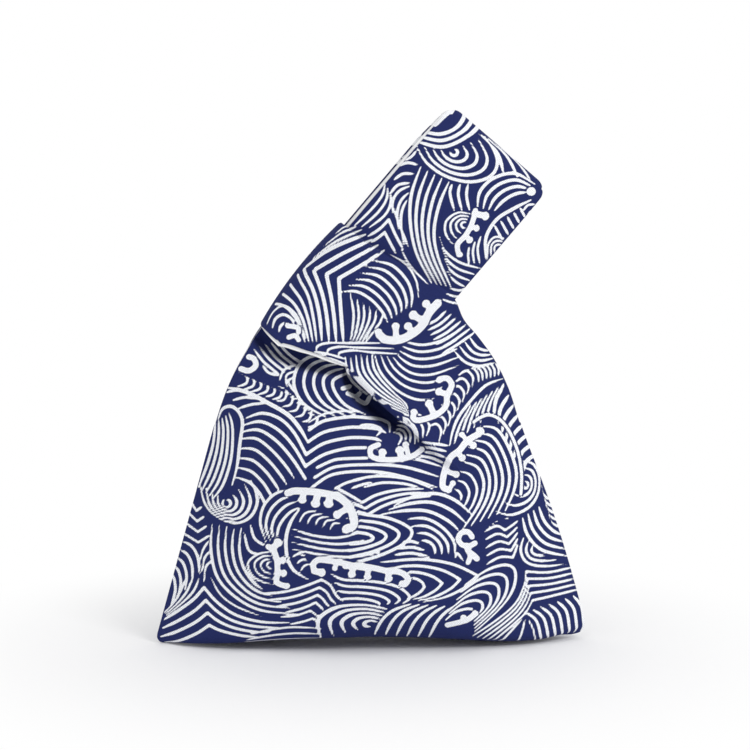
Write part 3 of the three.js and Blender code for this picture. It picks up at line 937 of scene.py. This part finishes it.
RIGHT_SHOULDER_STROKES = {
    "crease flow": (14, 6, "both", [(-20, 70), (-5, 150), (50, 210), (125, 258), (245, 312)],
                    [(92, 55), (100, 118), (135, 172), (185, 222), (240, 268)]),
    "bowl": (14, 4, "both", [(225, 6), (300, 20), (380, 2), (440, -35)],
             [(200, 66), (262, 106), (345, 106), (450, 72)]),
    "bowl, lower": (13, 4, "both", [(180, 72), (215, 112), (270, 142), (345, 142), (455, 106)],
                    [(104, 62), (128, 135), (195, 208), (280, 248), (352, 242)]),
    "below the crease": (12, 3, "both", [(190, 318), (240, 330), (275, 372), (285, 425)],
                         [(255, 300), (300, 318), (330, 355), (318, 400)]),
    "crescents": (13, 8, "both", [(450, 150), (485, 128), (512, 155), (508, 195)],
                  [(330, 360), (360, 350), (380, 378), (370, 425)]),
    "top swirl": (14, 4, "both", [(435, 45), (480, 92), (540, 108), (605, 92)],
                  [(500, -10), (525, 25), (550, 40), (580, 45)]),
    "comb": (13, 6, "both", [(478, 128), (510, 118), (532, 140), (536, 175)],
             [(590, 98), (608, 100), (620, 122), (618, 148)]),
    "slanted leaf outline": (15, 1, "both", [(638, 162), (565, 190), (492, 268), (440, 345), (415, 440)],
                             None),
    "slanted leaf": (13, 7, "both", [(505, 272), (460, 350), (435, 432)],
                     [(640, 182), (612, 240), (595, 300)]),
    "edge comb": (19, 8, "both", [(600, 310), (608, 250), (640, 190)],
                  [(718, 560), (735, 505), (785, 470)]),
    "upright eye": (15, 4, "both", [(722, 505), (765, 518), (788, 570), (782, 644), (742, 700),
                                    (671, 729), (608, 715)],
                    [(730, 590), (740, 594), (743, 606), (738, 616), (730, 618), (724, 612), (722, 604)]),
    "end of the crease": (12, 4, "both", [(200, 338), (242, 348), (270, 386), (270, 434)],
                          [(180, 385), (205, 390), (214, 410), (198, 440)]),
    "below the hollow, left": (14, 2, "both", [(42, 322), (110, 325), (160, 345), (165, 385)],
                               [(42, 352), (95, 355), (130, 372), (110, 400)]),
    "beside the foam": (15, 4, "both", [(300, 425), (350, 432), (408, 440)],
                        [(270, 482), (335, 490), (392, 514)]),
}
RIGHT_SHOULDER_FOAM = {
    "bands": [
        (24, [(372, 163), (405, 160), (424, 188), (405, 232), (398, 278), (350, 316), (282, 334),
              (262, 322)]),
        (26, [(535, 392), (490, 420), (455, 460), (420, 490), (395, 545), (386, 608), (412, 624)]),
        (22, [(118, 436), (86, 452), (90, 484), (130, 497), (200, 497), (258, 484), (300, 455)]),
    ],
    "knobs": [
        (372, 165, 15), (372, 216, 17), (330, 266, 18), (266, 302, 16),
        (540, 382, 20), (512, 438, 16), (468, 396, 13), (466, 490, 16), (442, 560, 15), (428, 598, 13),
        (135, 470, 18), (208, 462, 20), (232, 436, 14),
    ],
}

RIGHT_MIDDLE_STROKES = {
    "valley, upper": (20, 4, "end", [(0, 390), (60, 395), (110, 402), (150, 425)],
                      [(0, 545), (30, 545), (60, 548), (90, 555)]),
    "level flow, lower": (17, 2, "both", [(-35, 705), (101, 688), (253, 706), (372, 756)],
                          [(20, 745), (110, 722), (215, 726), (300, 745)]),
    "level flow": (19, 3, "end", [(0, 598), (140, 594), (280, 602), (410, 640)],
                   [(0, 664), (100, 668), (220, 692), (390, 745)]),
    "wave": (19, 6, "both", [(610, 435), (690, 450), (750, 540), (790, 660), (780, 760), (735, 865)],
             [(510, 615), (590, 640), (625, 710), (620, 780), (590, 850), (520, 955)]),
    "wave, inner": (16, 3, "both", [(505, 665), (560, 685), (592, 750), (575, 820), (545, 870)],
                    [(478, 755), (500, 765), (512, 785), (512, 795), (510, 808)]),
}
RIGHT_MIDDLE_FOAM = {
    "bands": [
        (15, [(575, 415), (610, 390), (655, 378), (710, 404), (760, 470), (800, 570), (818, 680),
              (815, 780)]),
    ],
    "knobs": [],
}

BASE_RIGHT_STROKES = {
    "dip, left": (15, 3, "start", [(-60, 30), (0, 62), (50, 92)], [(-30, 100), (20, 125), (75, 140)]),
    "dip, right": (15, 3, "end", [(50, 92), (110, 60), (200, 40), (300, 36)],
                   [(75, 140), (140, 104), (230, 76), (330, 68)]),
    "hill": (17, 3, "both", [(180, 105), (260, 68), (350, 55), (430, 82), (497, 138)],
             [(130, 140), (230, 125), (320, 128), (400, 165), (450, 210)]),
    "hill, lower": (16, 4, "both", [(235, 160), (310, 158), (380, 195), (425, 250), (430, 300)],
                    [(290, 245), (325, 255), (345, 275), (350, 305)]),
    "leaf tip": (16, 4, "start", [(-10, 128), (60, 142), (150, 154), (222, 182), (255, 215),
                                  (220, 262), (120, 310),
                                  (0, 342)],
                 [(-30, 212), (0, 212), (45, 216), (75, 222), (95, 235), (85, 248), (45, 258), (0, 262)]),
    "under the leaf": (15, 3, "both", [(180, 308), (250, 300), (325, 314)],
                       [(215, 255), (255, 252), (285, 262)]),
    "pointed leaf, upper": (15, 4, "start", [(120, 338), (280, 325), (420, 345), (525, 393)],
                            [(235, 400), (270, 405), (295, 420), (305, 440)]),
    "pointed leaf, lower": (14, 4, "end", [(525, 393), (475, 440), (390, 484), (300, 506)],
                            [(305, 440), (290, 460), (262, 480), (235, 490)]),
    "level stripes": (15, 4, "end", [(29, 411), (120, 420), (200, 442), (245, 485), (215, 515)],
                      [(29, 491), (60, 494), (95, 502), (118, 512), (122, 520)]),
    "half rings": (21, 5, "both", [(150, 540), (62, 521), (-41, 528), (-111, 566), (-132, 610),
                                   (-118, 690)],
                   [(108, 603), (86, 597), (66, 602), (58, 613), (64, 624), (82, 628)]),
    "fan": (16, 6, "both", [(100, 672), (128, 600), (175, 548), (250, 516)],
            [(322, 682), (356, 600), (388, 556), (425, 525)]),
    "teardrop": (15, 6, "both", [(470, 432), (560, 370), (635, 348), (676, 370), (672, 440),
                                 (625, 520), (510, 640)],
                 [(390, 590), (430, 552), (475, 536), (502, 538), (512, 548), (510, 556), (505, 562)]),
    "bent stripes, right": (13, 5, "end", [(722, 375), (810, 378), (912, 358)],
                            [(748, 496), (840, 474), (940, 450)]),
    "bent stripes, left": (13, 5, "end", [(722, 375), (712, 440), (660, 530), (500, 662)],
                           [(748, 496), (722, 545), (680, 590), (585, 680)]),
    "corner": (15, 7, "both", [(715, 545), (765, 585), (788, 690)], [(915, 478), (950, 530), (960, 640)]),
    "small corner": (11, 3, "both", [(610, 690), (660, 630), (705, 575)],
                     [(762, 690), (752, 625), (730, 575)]),
    "points, left": (13, 5, "start", [(552, 210), (600, 188), (636, 205)],
                     [(560, 345), (615, 316), (668, 318)]),
    "points, right": (12, 5, "end", [(636, 205), (662, 188), (688, 168)],
                      [(668, 318), (678, 292), (688, 262)]),
    "points, top": (11, 2, "both", [(570, 188), (610, 165), (650, 160)],
                    [(620, 165), (650, 155), (680, 140)]),
    "cup": (14, 3, "both", [(712, 236), (700, 288), (722, 335), (780, 352), (890, 345)],
            [(748, 272), (744, 290), (755, 303), (775, 308), (800, 308)]),
    "right flow": (16, 4, "both", [(708, 155), (728, 225), (785, 285), (895, 312)],
                   [(775, 110), (795, 165), (830, 205), (868, 225)]),
    "edge waves": (13, 5, "both", [(785, 20), (796, 60), (820, 82)],
                   [(808, 130), (830, 175), (866, 195)]),
    "foam curl": (13, 1, "both", [(432, 318), (440, 300), (464, 330)], None),
}
BASE_RIGHT_FOAM = {
    "bands": [
        (22, [(500, 232), (484, 212), (456, 216), (444, 240), (458, 264), (486, 270), (512, 258)]),
        (24, [(478, 268), (486, 292), (504, 306), (520, 322)]),
        (20, [(490, 292), (492, 316), (484, 338)]),
        (24, [(-20, 352), (70, 355), (150, 372), (205, 378), (238, 405), (225, 430)]),
        (24, [(400, 612), (440, 600), (480, 585), (510, 560)]),
    ],
    "knobs": [(72, 394, 16), (158, 402, 17), (215, 427, 15), (512, 557, 15), (465, 575, 13)],
}

RING_STROKES = {
    "round the end": (15, 20, "both", [(46, 392), (-14, 340), (-89, 274), (-159, 214)],
                      [(374, 6), (314, -46), (239, -111), (169, -171)]),
    "points, upper": (19, 4, "end", [(262, 224), (390, 150), (515, 100)],
                      [(405, 280), (500, 225), (592, 165)]),
    "upper edge": (12, 3, "both", [(385, 90), (420, 68), (455, 56)], [(285, 192), (400, 125), (500, 80)]),
    "points, lower": (19, 4, "end", [(252, 235), (300, 330), (325, 430), (335, 535)],
                      [(405, 282), (410, 370), (416, 450), (424, 545)]),
    "fan": (15, 4, "end", [(222, 254), (276, 345), (300, 440), (314, 540)],
            [(128, 372), (190, 400), (236, 455), (266, 540)]),
    "eye": (15, 3, "both", [(105, 468), (125, 415), (175, 392), (228, 430), (268, 525)],
            [(160, 500), (165, 478), (180, 466), (198, 468), (212, 478)]),
    "crest": (15, 6, "both", [(418, 335), (480, 335), (540, 370), (585, 420), (605, 460)],
              [(545, 208), (625, 228), (685, 290), (705, 350), (700, 400)]),
    "crest, top": (11, 1, "both", [(605, 180), (680, 222), (722, 290), (732, 360)], None),
    "upright strokes": (13, 6, "both", [(452, 345), (465, 420), (462, 480), (452, 540)],
                        [(585, 430), (575, 460), (550, 495), (515, 545)]),
    "along the lip": (13, 3, "both", [(314, 580), (318, 558), (361, 545), (446, 546), (610, 546)],
                      [(403, 600), (411, 584), (463, 576), (540, 584), (650, 590)]),
    "right of the foam": (14, 7, "both", [(760, 472), (805, 450), (845, 412)],
                          [(825, 590), (890, 552), (965, 500)]),
}
RING_FOAM = {
    "bands": [
        (20, [(195, 475), (235, 482), (240, 500)]),
        (20, [(200, 522), (225, 515), (240, 532)]),
        (33, [(572, 512), (600, 532), (655, 532), (710, 505), (748, 470), (775, 420), (810, 382)]),
    ],
    "knobs": [(568, 502, 16), (638, 478, 17), (690, 478, 18), (712, 432, 20), (764, 386, 18)],
}

STRAP_STROKES = {
    "over the end": (19, 17, "both", [(506, 12), (542, -35), (577, -80), (607, -120)],
                     [(929, 351), (965, 307), (1000, 262), (1030, 222)]),
    "top corner": (42, 1, "none", [(400, 108), (444, 66), (490, 28)], None),
    "top": (25, 3, "start", [(340, 146), (425, 160), (504, 126), (558, 46)],
            [(318, 196), (440, 220), (560, 165), (640, 84)]),
    "eye": (19, 5, "both", [(312, 215), (360, 295), (455, 360), (570, 385), (665, 355),
                            (692, 280), (640, 170)],
            [(468, 245), (476, 256), (488, 262), (500, 258), (506, 246), (502, 236), (494, 232)]),
    "right of the eye": (19, 3, "both", [(605, 158), (690, 240), (722, 345)],
                         [(640, 165), (770, 250), (850, 375)]),
    "wave": (19, 4, "both", [(600, 505), (612, 430), (675, 368), (775, 345), (870, 395)],
             [(680, 520), (715, 480), (755, 452), (795, 437), (830, 435)]),
    "wave, lower": (20, 1, "both", [(638, 745), (640, 645), (690, 562), (770, 510), (850, 470)], None),
    "edge": (15, 5, "both", [(680, 590), (718, 660)], [(800, 508), (822, 550)]),
    "edge, lower": (14, 3, "both", [(645, 750), (650, 680), (680, 645), (725, 650)],
                    [(680, 715), (680, 690), (695, 680), (710, 682)]),
    "corner": (13, 2, "both", [(815, 520), (835, 495), (870, 490)], [(835, 545), (850, 525), (875, 520)]),
    "small eye": (14, 4, "both", [(565, 535), (505, 530), (452, 570), (450, 630), (485, 680)],
                  [(548, 575), (530, 575), (522, 588), (530, 600), (540, 602)]),
    "long stripes": (19, 5, "both", [(332, 315), (290, 440), (283, 570), (312, 720), (385, 862)],
                     [(465, 385), (420, 490), (395, 620), (415, 740), (475, 880)]),
    "beside the stripes": (12, 1, "both", [(240, 700), (285, 780), (370, 870)], None),
    "top of the stripes": (17, 3, "both", [(480, 395), (470, 440), (490, 520)],
                           [(555, 398), (548, 450), (562, 520)]),
    "left fan": (17, 3, "both", [(225, 310), (270, 295), (318, 305)],
                 [(190, 440), (225, 400), (280, 390)]),
    "left top": (15, 2, "both", [(290, 215), (270, 250), (235, 285)],
                 [(310, 240), (290, 265), (262, 282)]),
    "left rings": (16, 3, "both", [(200, 530), (205, 465), (235, 425), (280, 405)],
                   [(255, 680), (240, 590), (245, 520), (268, 470)]),
    "left lens": (15, 3, "both", [(20, 592), (95, 520), (150, 450), (165, 390)],
                  [(90, 600), (160, 545), (190, 490), (190, 430)]),
    "points, left": (17, 2, "start", [(85, 640), (140, 605), (182, 562)],
                     [(100, 668), (135, 645), (163, 622)]),
    "points, right": (17, 2, "end", [(182, 562), (212, 630), (250, 702)],
                      [(163, 622), (188, 670), (215, 720)]),
    "points, last": (14, 1, "both", [(200, 500), (240, 605), (275, 690)], None),
    "root, right": (14, 3, "both", [(470, 885), (520, 895), (575, 872)],
                    [(430, 935), (500, 955), (570, 935)]),
    "root": (15, 4, "both", [(420, 640), (450, 712), (517, 764), (614, 792)],
             [(458, 805), (480, 838), (505, 860), (540, 878)]),
    "beside the foam": (14, 3, "both", [(560, 690), (555, 730), (560, 770)],
                        [(615, 640), (600, 700), (610, 770)]),
}
STRAP_FOAM = {
    "bands": [
        (24, [(590, 520), (580, 560), (565, 600), (540, 640), (505, 680), (512, 728)]),
        (40, [(850, 430), (853, 430)]),
    ],
    "knobs": [(634, 545, 21), (592, 602, 17), (560, 656, 18), (515, 727, 15)],
}

# Sheets of the drawing, each with its upper left corner, right and down of the sight point, and its unit.
# Both are in millimetres.
SHEETS = (
    ((-115.2, -17.9), 0.1012, LEFT_SHOULDER_STROKES, LEFT_SHOULDER_FOAM),
    ((-115.2, 53.8), 0.1191, BASE_LEFT_STROKES, BASE_LEFT_FOAM),
    ((-12.8, -17.9), 0.1229, RIGHT_SHOULDER_STROKES, RIGHT_SHOULDER_FOAM),
    ((-7.7, -17.9), 0.1012, RIGHT_MIDDLE_STROKES, RIGHT_MIDDLE_FOAM),
    ((-12.8, 53.8), 0.1249, BASE_RIGHT_STROKES, BASE_RIGHT_FOAM),
    ((-69.1, -84.5), 0.1249, RING_STROKES, RING_FOAM),
    ((-12.8, -140.8), 0.1089, STRAP_STROKES, STRAP_FOAM),
)

# Brush. The reach and the margin are in millimetres, and the rest are shares.
LINE_STEPS = 24
INK_REACH = 2.5
THIN_TIP = 0.4
TIP_LENGTH = 0.22
FOAM_MARGIN = 0.7
STROKE_FULLNESS = 0.8
CROWDED_SHARE = 0.55
STEM_SHARE = 0.7
STEM_START = 0.2


def brush_line(points):
    """A smooth line through a few points, in short steps."""
    points = np.array(points, float)
    before = np.vstack([points[:1], points[:-1]])
    after = np.vstack([points[1:], points[-1:]])
    tangents = (after - before) / 2
    spans = len(points) - 1
    run = np.linspace(0, spans, LINE_STEPS + 1)
    i = np.minimum(run.astype(int), spans - 1)
    s = (run - i)[:, None]
    return curve_between(points[i], points[i + 1], tangents[i], tangents[i + 1], s)


def tip_shares(tips):
    """How full a stroke is along its line, with the named tips thin."""
    run = np.linspace(0, 1, LINE_STEPS + 1)
    from_tip = {
        "both": np.minimum(run, 1 - run),
        "start": run,
        "end": 1 - run,
        "none": np.ones_like(run),
    }
    return np.minimum(1, lerp(THIN_TIP, 1, from_tip[tips] / TIP_LENGTH))


def crowding(first, last, count):
    """The most a stroke may reach either side of its line before it closes on the next one."""
    if count == 1:
        return np.full(LINE_STEPS + 1, np.inf)
    along = np.gradient(first + last, axis=0)
    along /= np.linalg.norm(along, axis=1)[:, None]
    across = (last - first) / (count - 1)
    return CROWDED_SHARE / 2 * np.abs(across[:, 0] * along[:, 1] - across[:, 1] * along[:, 0])


def lay_stroke(ink, places, line, half_widths):
    """Raises the ink under a stroke to its half width less the distance from its line."""
    reach = half_widths.max() + INK_REACH
    past_low = places > line.min(axis=0) - reach
    short_of_high = places < line.max(axis=0) + reach
    near = np.flatnonzero((past_low & short_of_high).all(axis=1))
    if len(near) == 0:
        return
    spots = places[near]
    depth = ink[near]
    for start, end, first, last in zip(line, line[1:], half_widths, half_widths[1:]):
        step = end - start
        share = np.clip((spots - start) @ step / max(step @ step, TINY), 0, 1)
        distance = np.linalg.norm(spots - start - share[:, None] * step, axis=1)
        depth = np.maximum(depth, lerp(first, last, share) - distance)
    ink[near] = depth


def stroke_ink(places):
    """Ink of the sets of strokes."""
    ink = np.full(len(places), -INK_REACH)
    for corner, unit, strokes, _ in SHEETS:
        for width, count, tips, first, last in strokes.values():
            first = brush_line(first)
            last = first if last is None else brush_line(last)
            full = STROKE_FULLNESS * width / 2 * tip_shares(tips)
            half_widths = unit * np.minimum(full, crowding(first, last, count))
            for share in np.linspace(0, 1, count):
                lay_stroke(ink, places, corner + unit * lerp(first, last, share), half_widths)
    return ink


def foam_ink(places):
    """Ink of the foam's bands and of its knobs, which stand on stems from the nearest place on a band."""
    ink = np.full(len(places), -INK_REACH)
    for corner, unit, _, foam in SHEETS:
        lines = [brush_line(points) for _, points in foam["bands"]]
        for (width, _), line in zip(foam["bands"], lines):
            half_widths = np.full(LINE_STEPS + 1, width * unit / 2)
            lay_stroke(ink, places, corner + unit * line, half_widths)
        roots = np.vstack(lines)
        for x, y, radius in foam["knobs"]:
            knob = np.array([x, y])
            root = roots[np.linalg.norm(roots - knob, axis=1).argmin()]
            stem = corner + unit * np.array([knob, lerp(knob, root, STEM_START), root])
            lay_stroke(ink, places, stem, radius * unit * np.array([1, STEM_SHARE, STEM_SHARE]))
    return ink


def print_ink(places):
    """How deep each place lies inside white ink, in millimetres. The blue ground is below zero."""
    foam = foam_ink(places)
    return np.maximum(np.minimum(stroke_ink(places), -foam - FOAM_MARGIN), foam)


# Materials


def fill_sockets(tree, node, sockets):
    """Sets each socket to a value, or joins it to another node's output."""
    for socket, value in sockets.items():
        if isinstance(value, bpy.types.NodeSocket):
            tree.links.new(value, node.inputs[socket])
        else:
            node.inputs[socket].default_value = value


def linked(tree, kind, sockets, **settings):
    """A new node with its settings and its sockets."""
    node = tree.nodes.new(kind)
    for name, value in settings.items():
        setattr(node, name, value)
    fill_sockets(tree, node, sockets)
    return node


def maths(tree, operation, first, second=0.0):
    return linked(tree, "ShaderNodeMath", {0: first, 1: second}, operation=operation).outputs[0]


def noise(tree, place, scale, detail):
    sockets = {"Vector": place, "Scale": scale, "Detail": detail}
    return linked(tree, "ShaderNodeTexNoise", sockets).outputs["Fac"]


def noded_material(name):
    """A new material, with its tree and the shader in it."""
    material = bpy.data.materials.new(name)
    material.use_nodes = True
    return material, material.node_tree, material.node_tree.nodes["Principled BSDF"]


def weave_group():
    """Crossed threads of a plain weave, with slubs: the threads' height, a tone about 1 and the slubs."""
    group = bpy.data.node_groups.new("cotton_weave", "ShaderNodeTree")
    group.interface.new_socket("Place", in_out="INPUT", socket_type="NodeSocketVector")
    for name in ("Threads", "Contrast"):
        group.interface.new_socket(name, in_out="INPUT", socket_type="NodeSocketFloat")
    for name in ("Height", "Tone", "Slub"):
        group.interface.new_socket(name, in_out="OUTPUT", socket_type="NodeSocketFloat")
    given = group.nodes.new("NodeGroupInput").outputs
    wander = noise(group, given["Place"], WANDER_SCALE, WANDER_DETAIL)
    apart = linked(group, "ShaderNodeSeparateXYZ", {"Vector": given["Place"]}).outputs
    waves = []
    for axis in ("X", "Y"):
        run = maths(group, "MULTIPLY", apart[axis], given["Threads"])
        run = maths(group, "ADD", run, wander)
        waves.append(maths(group, "SINE", maths(group, "MULTIPLY", run, math.pi)))
    over = maths(group, "MULTIPLY", waves[0], waves[1])
    fuzz = noise(group, given["Place"], FUZZ_SCALE, FUZZ_DETAIL)
    slub = maths(group, "SUBTRACT", fuzz, NOISE_MIDDLE)
    height = maths(group, "ADD", over, maths(group, "MULTIPLY", slub, SLUB_HEIGHT))
    tone = maths(group, "ADD", maths(group, "MULTIPLY", height, given["Contrast"]), 1.0)
    linked(group, "NodeGroupOutput", {"Height": height, "Tone": tone, "Slub": slub})
    return group


def cloth_material(name, weave, contrast):
    """A cotton with its weave, and without a colour as yet."""
    material, tree, shader = noded_material(name)
    place = linked(tree, "ShaderNodeAttribute", {}, attribute_name="cloth_place").outputs["Vector"]
    set_of_threads = {"Place": place, "Threads": THREADS, "Contrast": contrast}
    cloth = linked(tree, "ShaderNodeGroup", set_of_threads, node_tree=weave)
    relief = {"Height": cloth.outputs["Height"], "Strength": BUMP_STRENGTH, "Distance": BUMP_DEPTH}
    bump = linked(tree, "ShaderNodeBump", relief)
    fill_sockets(tree, shader, {
        "Normal": bump.outputs["Normal"],
        "Roughness": CLOTH_ROUGHNESS,
        "Specular IOR Level": CLOTH_GLOSS,
    })
    return material, cloth, shader


def put_colour(tree, shader, colour, tone):
    """Gives a shader a colour that is made lighter and darker by a tone about 1."""
    toned = linked(tree, "ShaderNodeVectorMath", {0: colour, 1: tone}, operation="MULTIPLY")
    fill_sockets(tree, shader, {"Base Color": toned.outputs[0]})


def printed_cotton(weave):
    """Blue cotton with white ink, whose edge is a little ragged where the threads are thick or thin."""
    material, cloth, shader = cloth_material("printed_cotton", weave, PRINT_GRAIN)
    tree = material.node_tree
    ink = linked(tree, "ShaderNodeAttribute", {}, attribute_name="ink").outputs["Fac"]
    ragged = maths(tree, "ADD", ink, maths(tree, "MULTIPLY", cloth.outputs["Slub"], RAGGED_INK))
    soft = {"Value": ragged, "From Min": -INK_SOFTNESS, "From Max": INK_SOFTNESS}
    mask = linked(tree, "ShaderNodeMapRange", soft).outputs["Result"]
    inks = {MIX_FACTOR: mask, MIX_FIRST: BLUE_GROUND, MIX_SECOND: WHITE_INK}
    colours = linked(tree, "ShaderNodeMix", inks, data_type="RGBA").outputs[MIX_RESULT]
    put_colour(tree, shader, colours, cloth.outputs["Tone"])
    return material


def lining_cotton(weave):
    material, cloth, shader = cloth_material("lining_cotton", weave, LINING_GRAIN)
    put_colour(material.node_tree, shader, LINING_WHITE, cloth.outputs["Tone"])
    return material


# Pieces


def make_bag():
    """The outer and lining cloths of the front, and of the back, which is the front mirrored."""
    panel = Panel()
    weave = weave_group()
    materials = {"outer": printed_cotton(weave), "lining": lining_cotton(weave)}
    edge = np.clip(1 - panel.gap / EDGE_RUN, 0, 1)
    roll = EDGE_ROLL * edge ** 2
    plies = {
        # depths of the face and the back
        "outer": (roll, np.full(len(roll), OUTER_CLOTH)),
        "lining": (lerp(LINING_FACE, EDGE_LINING_FACE, edge), lerp(PLY, EDGE_PLY, edge)),
    }
    for side, swell_seed in SWELL_SEEDS.items():
        points = settled(panel, swell_seed)
        normals = sheet_normals(points, panel.faces)
        for ply, depths in plies.items():
            shift = edge_shift(panel, *EDGE_REACH[ply, side])
            face, back = (moved_in(points, normals, depth) + shift for depth in depths)
            if side == "front":
                face[:, 1] += panel.sink if ply == "outer" else panel.inner_sink
                back[:, 1] += panel.inner_sink
            piece = ply_mesh(f"{ply}_{side}_cloth", panel, face, back, ply == "outer", side == "back")
            piece.data.materials.append(materials[ply])
            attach(piece, "root")
            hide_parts(f"{ply}_{side}_panel")


# Stage


def make_camera():
    back = Vector(VIEW_BACK)
    data = bpy.data.cameras.new("camera")
    data.sensor_width = SENSOR_WIDTH
    data.lens = SENSOR_WIDTH * VIEW_DISTANCE / VIEW_WIDTH
    camera = bpy.data.objects.new("camera", data)
    camera.location = (Vector(SIGHT) + back * VIEW_DISTANCE) * MM
    camera.rotation_euler = (-back).to_track_quat("-Z", "Y").to_euler()
    bpy.context.collection.objects.link(camera)
    bpy.context.scene.camera = camera


def seen_directly(tree):
    """1 where a surface is seen, also in a mirror or through glass, and 0 where it only gives light."""
    path = tree.nodes.new("ShaderNodeLightPath").outputs
    seen = maths(tree, "MAXIMUM", path["Is Camera Ray"], path["Is Glossy Ray"])
    return maths(tree, "MAXIMUM", seen, path["Is Transmission Ray"])


def make_floor():
    mesh = bpy.data.meshes.new("floor")
    ways = ((-1, -1), (1, -1), (1, 1), (-1, 1))
    mesh.from_pydata([(x * FLOOR_REACH, y * FLOOR_REACH, 0) for x, y in ways], [], [(0, 1, 2, 3)])
    floor = bpy.data.objects.new("floor", mesh)
    bpy.context.collection.objects.link(floor)
    material, tree, shader = noded_material("pale_floor")
    fill_sockets(tree, shader, {
        "Base Color": FLOOR_WHITE,
        "Roughness": FLOOR_ROUGHNESS,
        "Specular IOR Level": FLOOR_GLOSS,
    })
    place = tree.nodes.new("ShaderNodeNewGeometry").outputs["Position"]
    away = linked(tree, "ShaderNodeVectorMath", {0: place}, operation="LENGTH").outputs["Value"]
    fade = linked(
        tree, "ShaderNodeMapRange",
        {"Value": away, "From Min": FLOOR_FADE[0], "From Max": FLOOR_FADE[1]},
        interpolation_type="SMOOTHSTEP",
    ).outputs["Result"]
    glow = linked(tree, "ShaderNodeEmission", {"Color": WHITE, "Strength": 1.0})
    share = maths(tree, "MULTIPLY", fade, seen_directly(tree))
    both = linked(tree, "ShaderNodeMixShader", {0: share, 1: shader.outputs[0], 2: glow.outputs[0]})
    fill_sockets(tree, tree.nodes["Material Output"], {"Surface": both.outputs[0]})
    mesh.materials.append(material)


def make_lights():
    world = bpy.data.worlds.new("soft_light")
    bpy.context.scene.world = world
    world.use_nodes = True
    tree = world.node_tree
    light = tree.nodes["Background"]
    fill_sockets(tree, light, {"Color": WHITE, "Strength": WORLD_LIGHT})
    white = linked(tree, "ShaderNodeBackground", {"Color": WHITE, "Strength": 1.0})
    either = {0: seen_directly(tree), 1: light.outputs[0], 2: white.outputs[0]}
    both = linked(tree, "ShaderNodeMixShader", either)
    fill_sockets(tree, tree.nodes["World Output"], {"Surface": both.outputs[0]})
    data = bpy.data.lights.new("soft_lamp", "AREA")
    data.energy = LAMP_POWER
    data.size = LAMP_SIZE
    lamp = bpy.data.objects.new("soft_lamp", data)
    lamp.location = LAMP_PLACE
    lamp.rotation_euler = (Vector(SIGHT) * MM - Vector(LAMP_PLACE)).to_track_quat("-Z", "Y").to_euler()
    bpy.context.collection.objects.link(lamp)
    bpy.context.scene.view_settings.view_transform = "Standard"


make_camera()
make_floor()
make_lights()
make_bag()
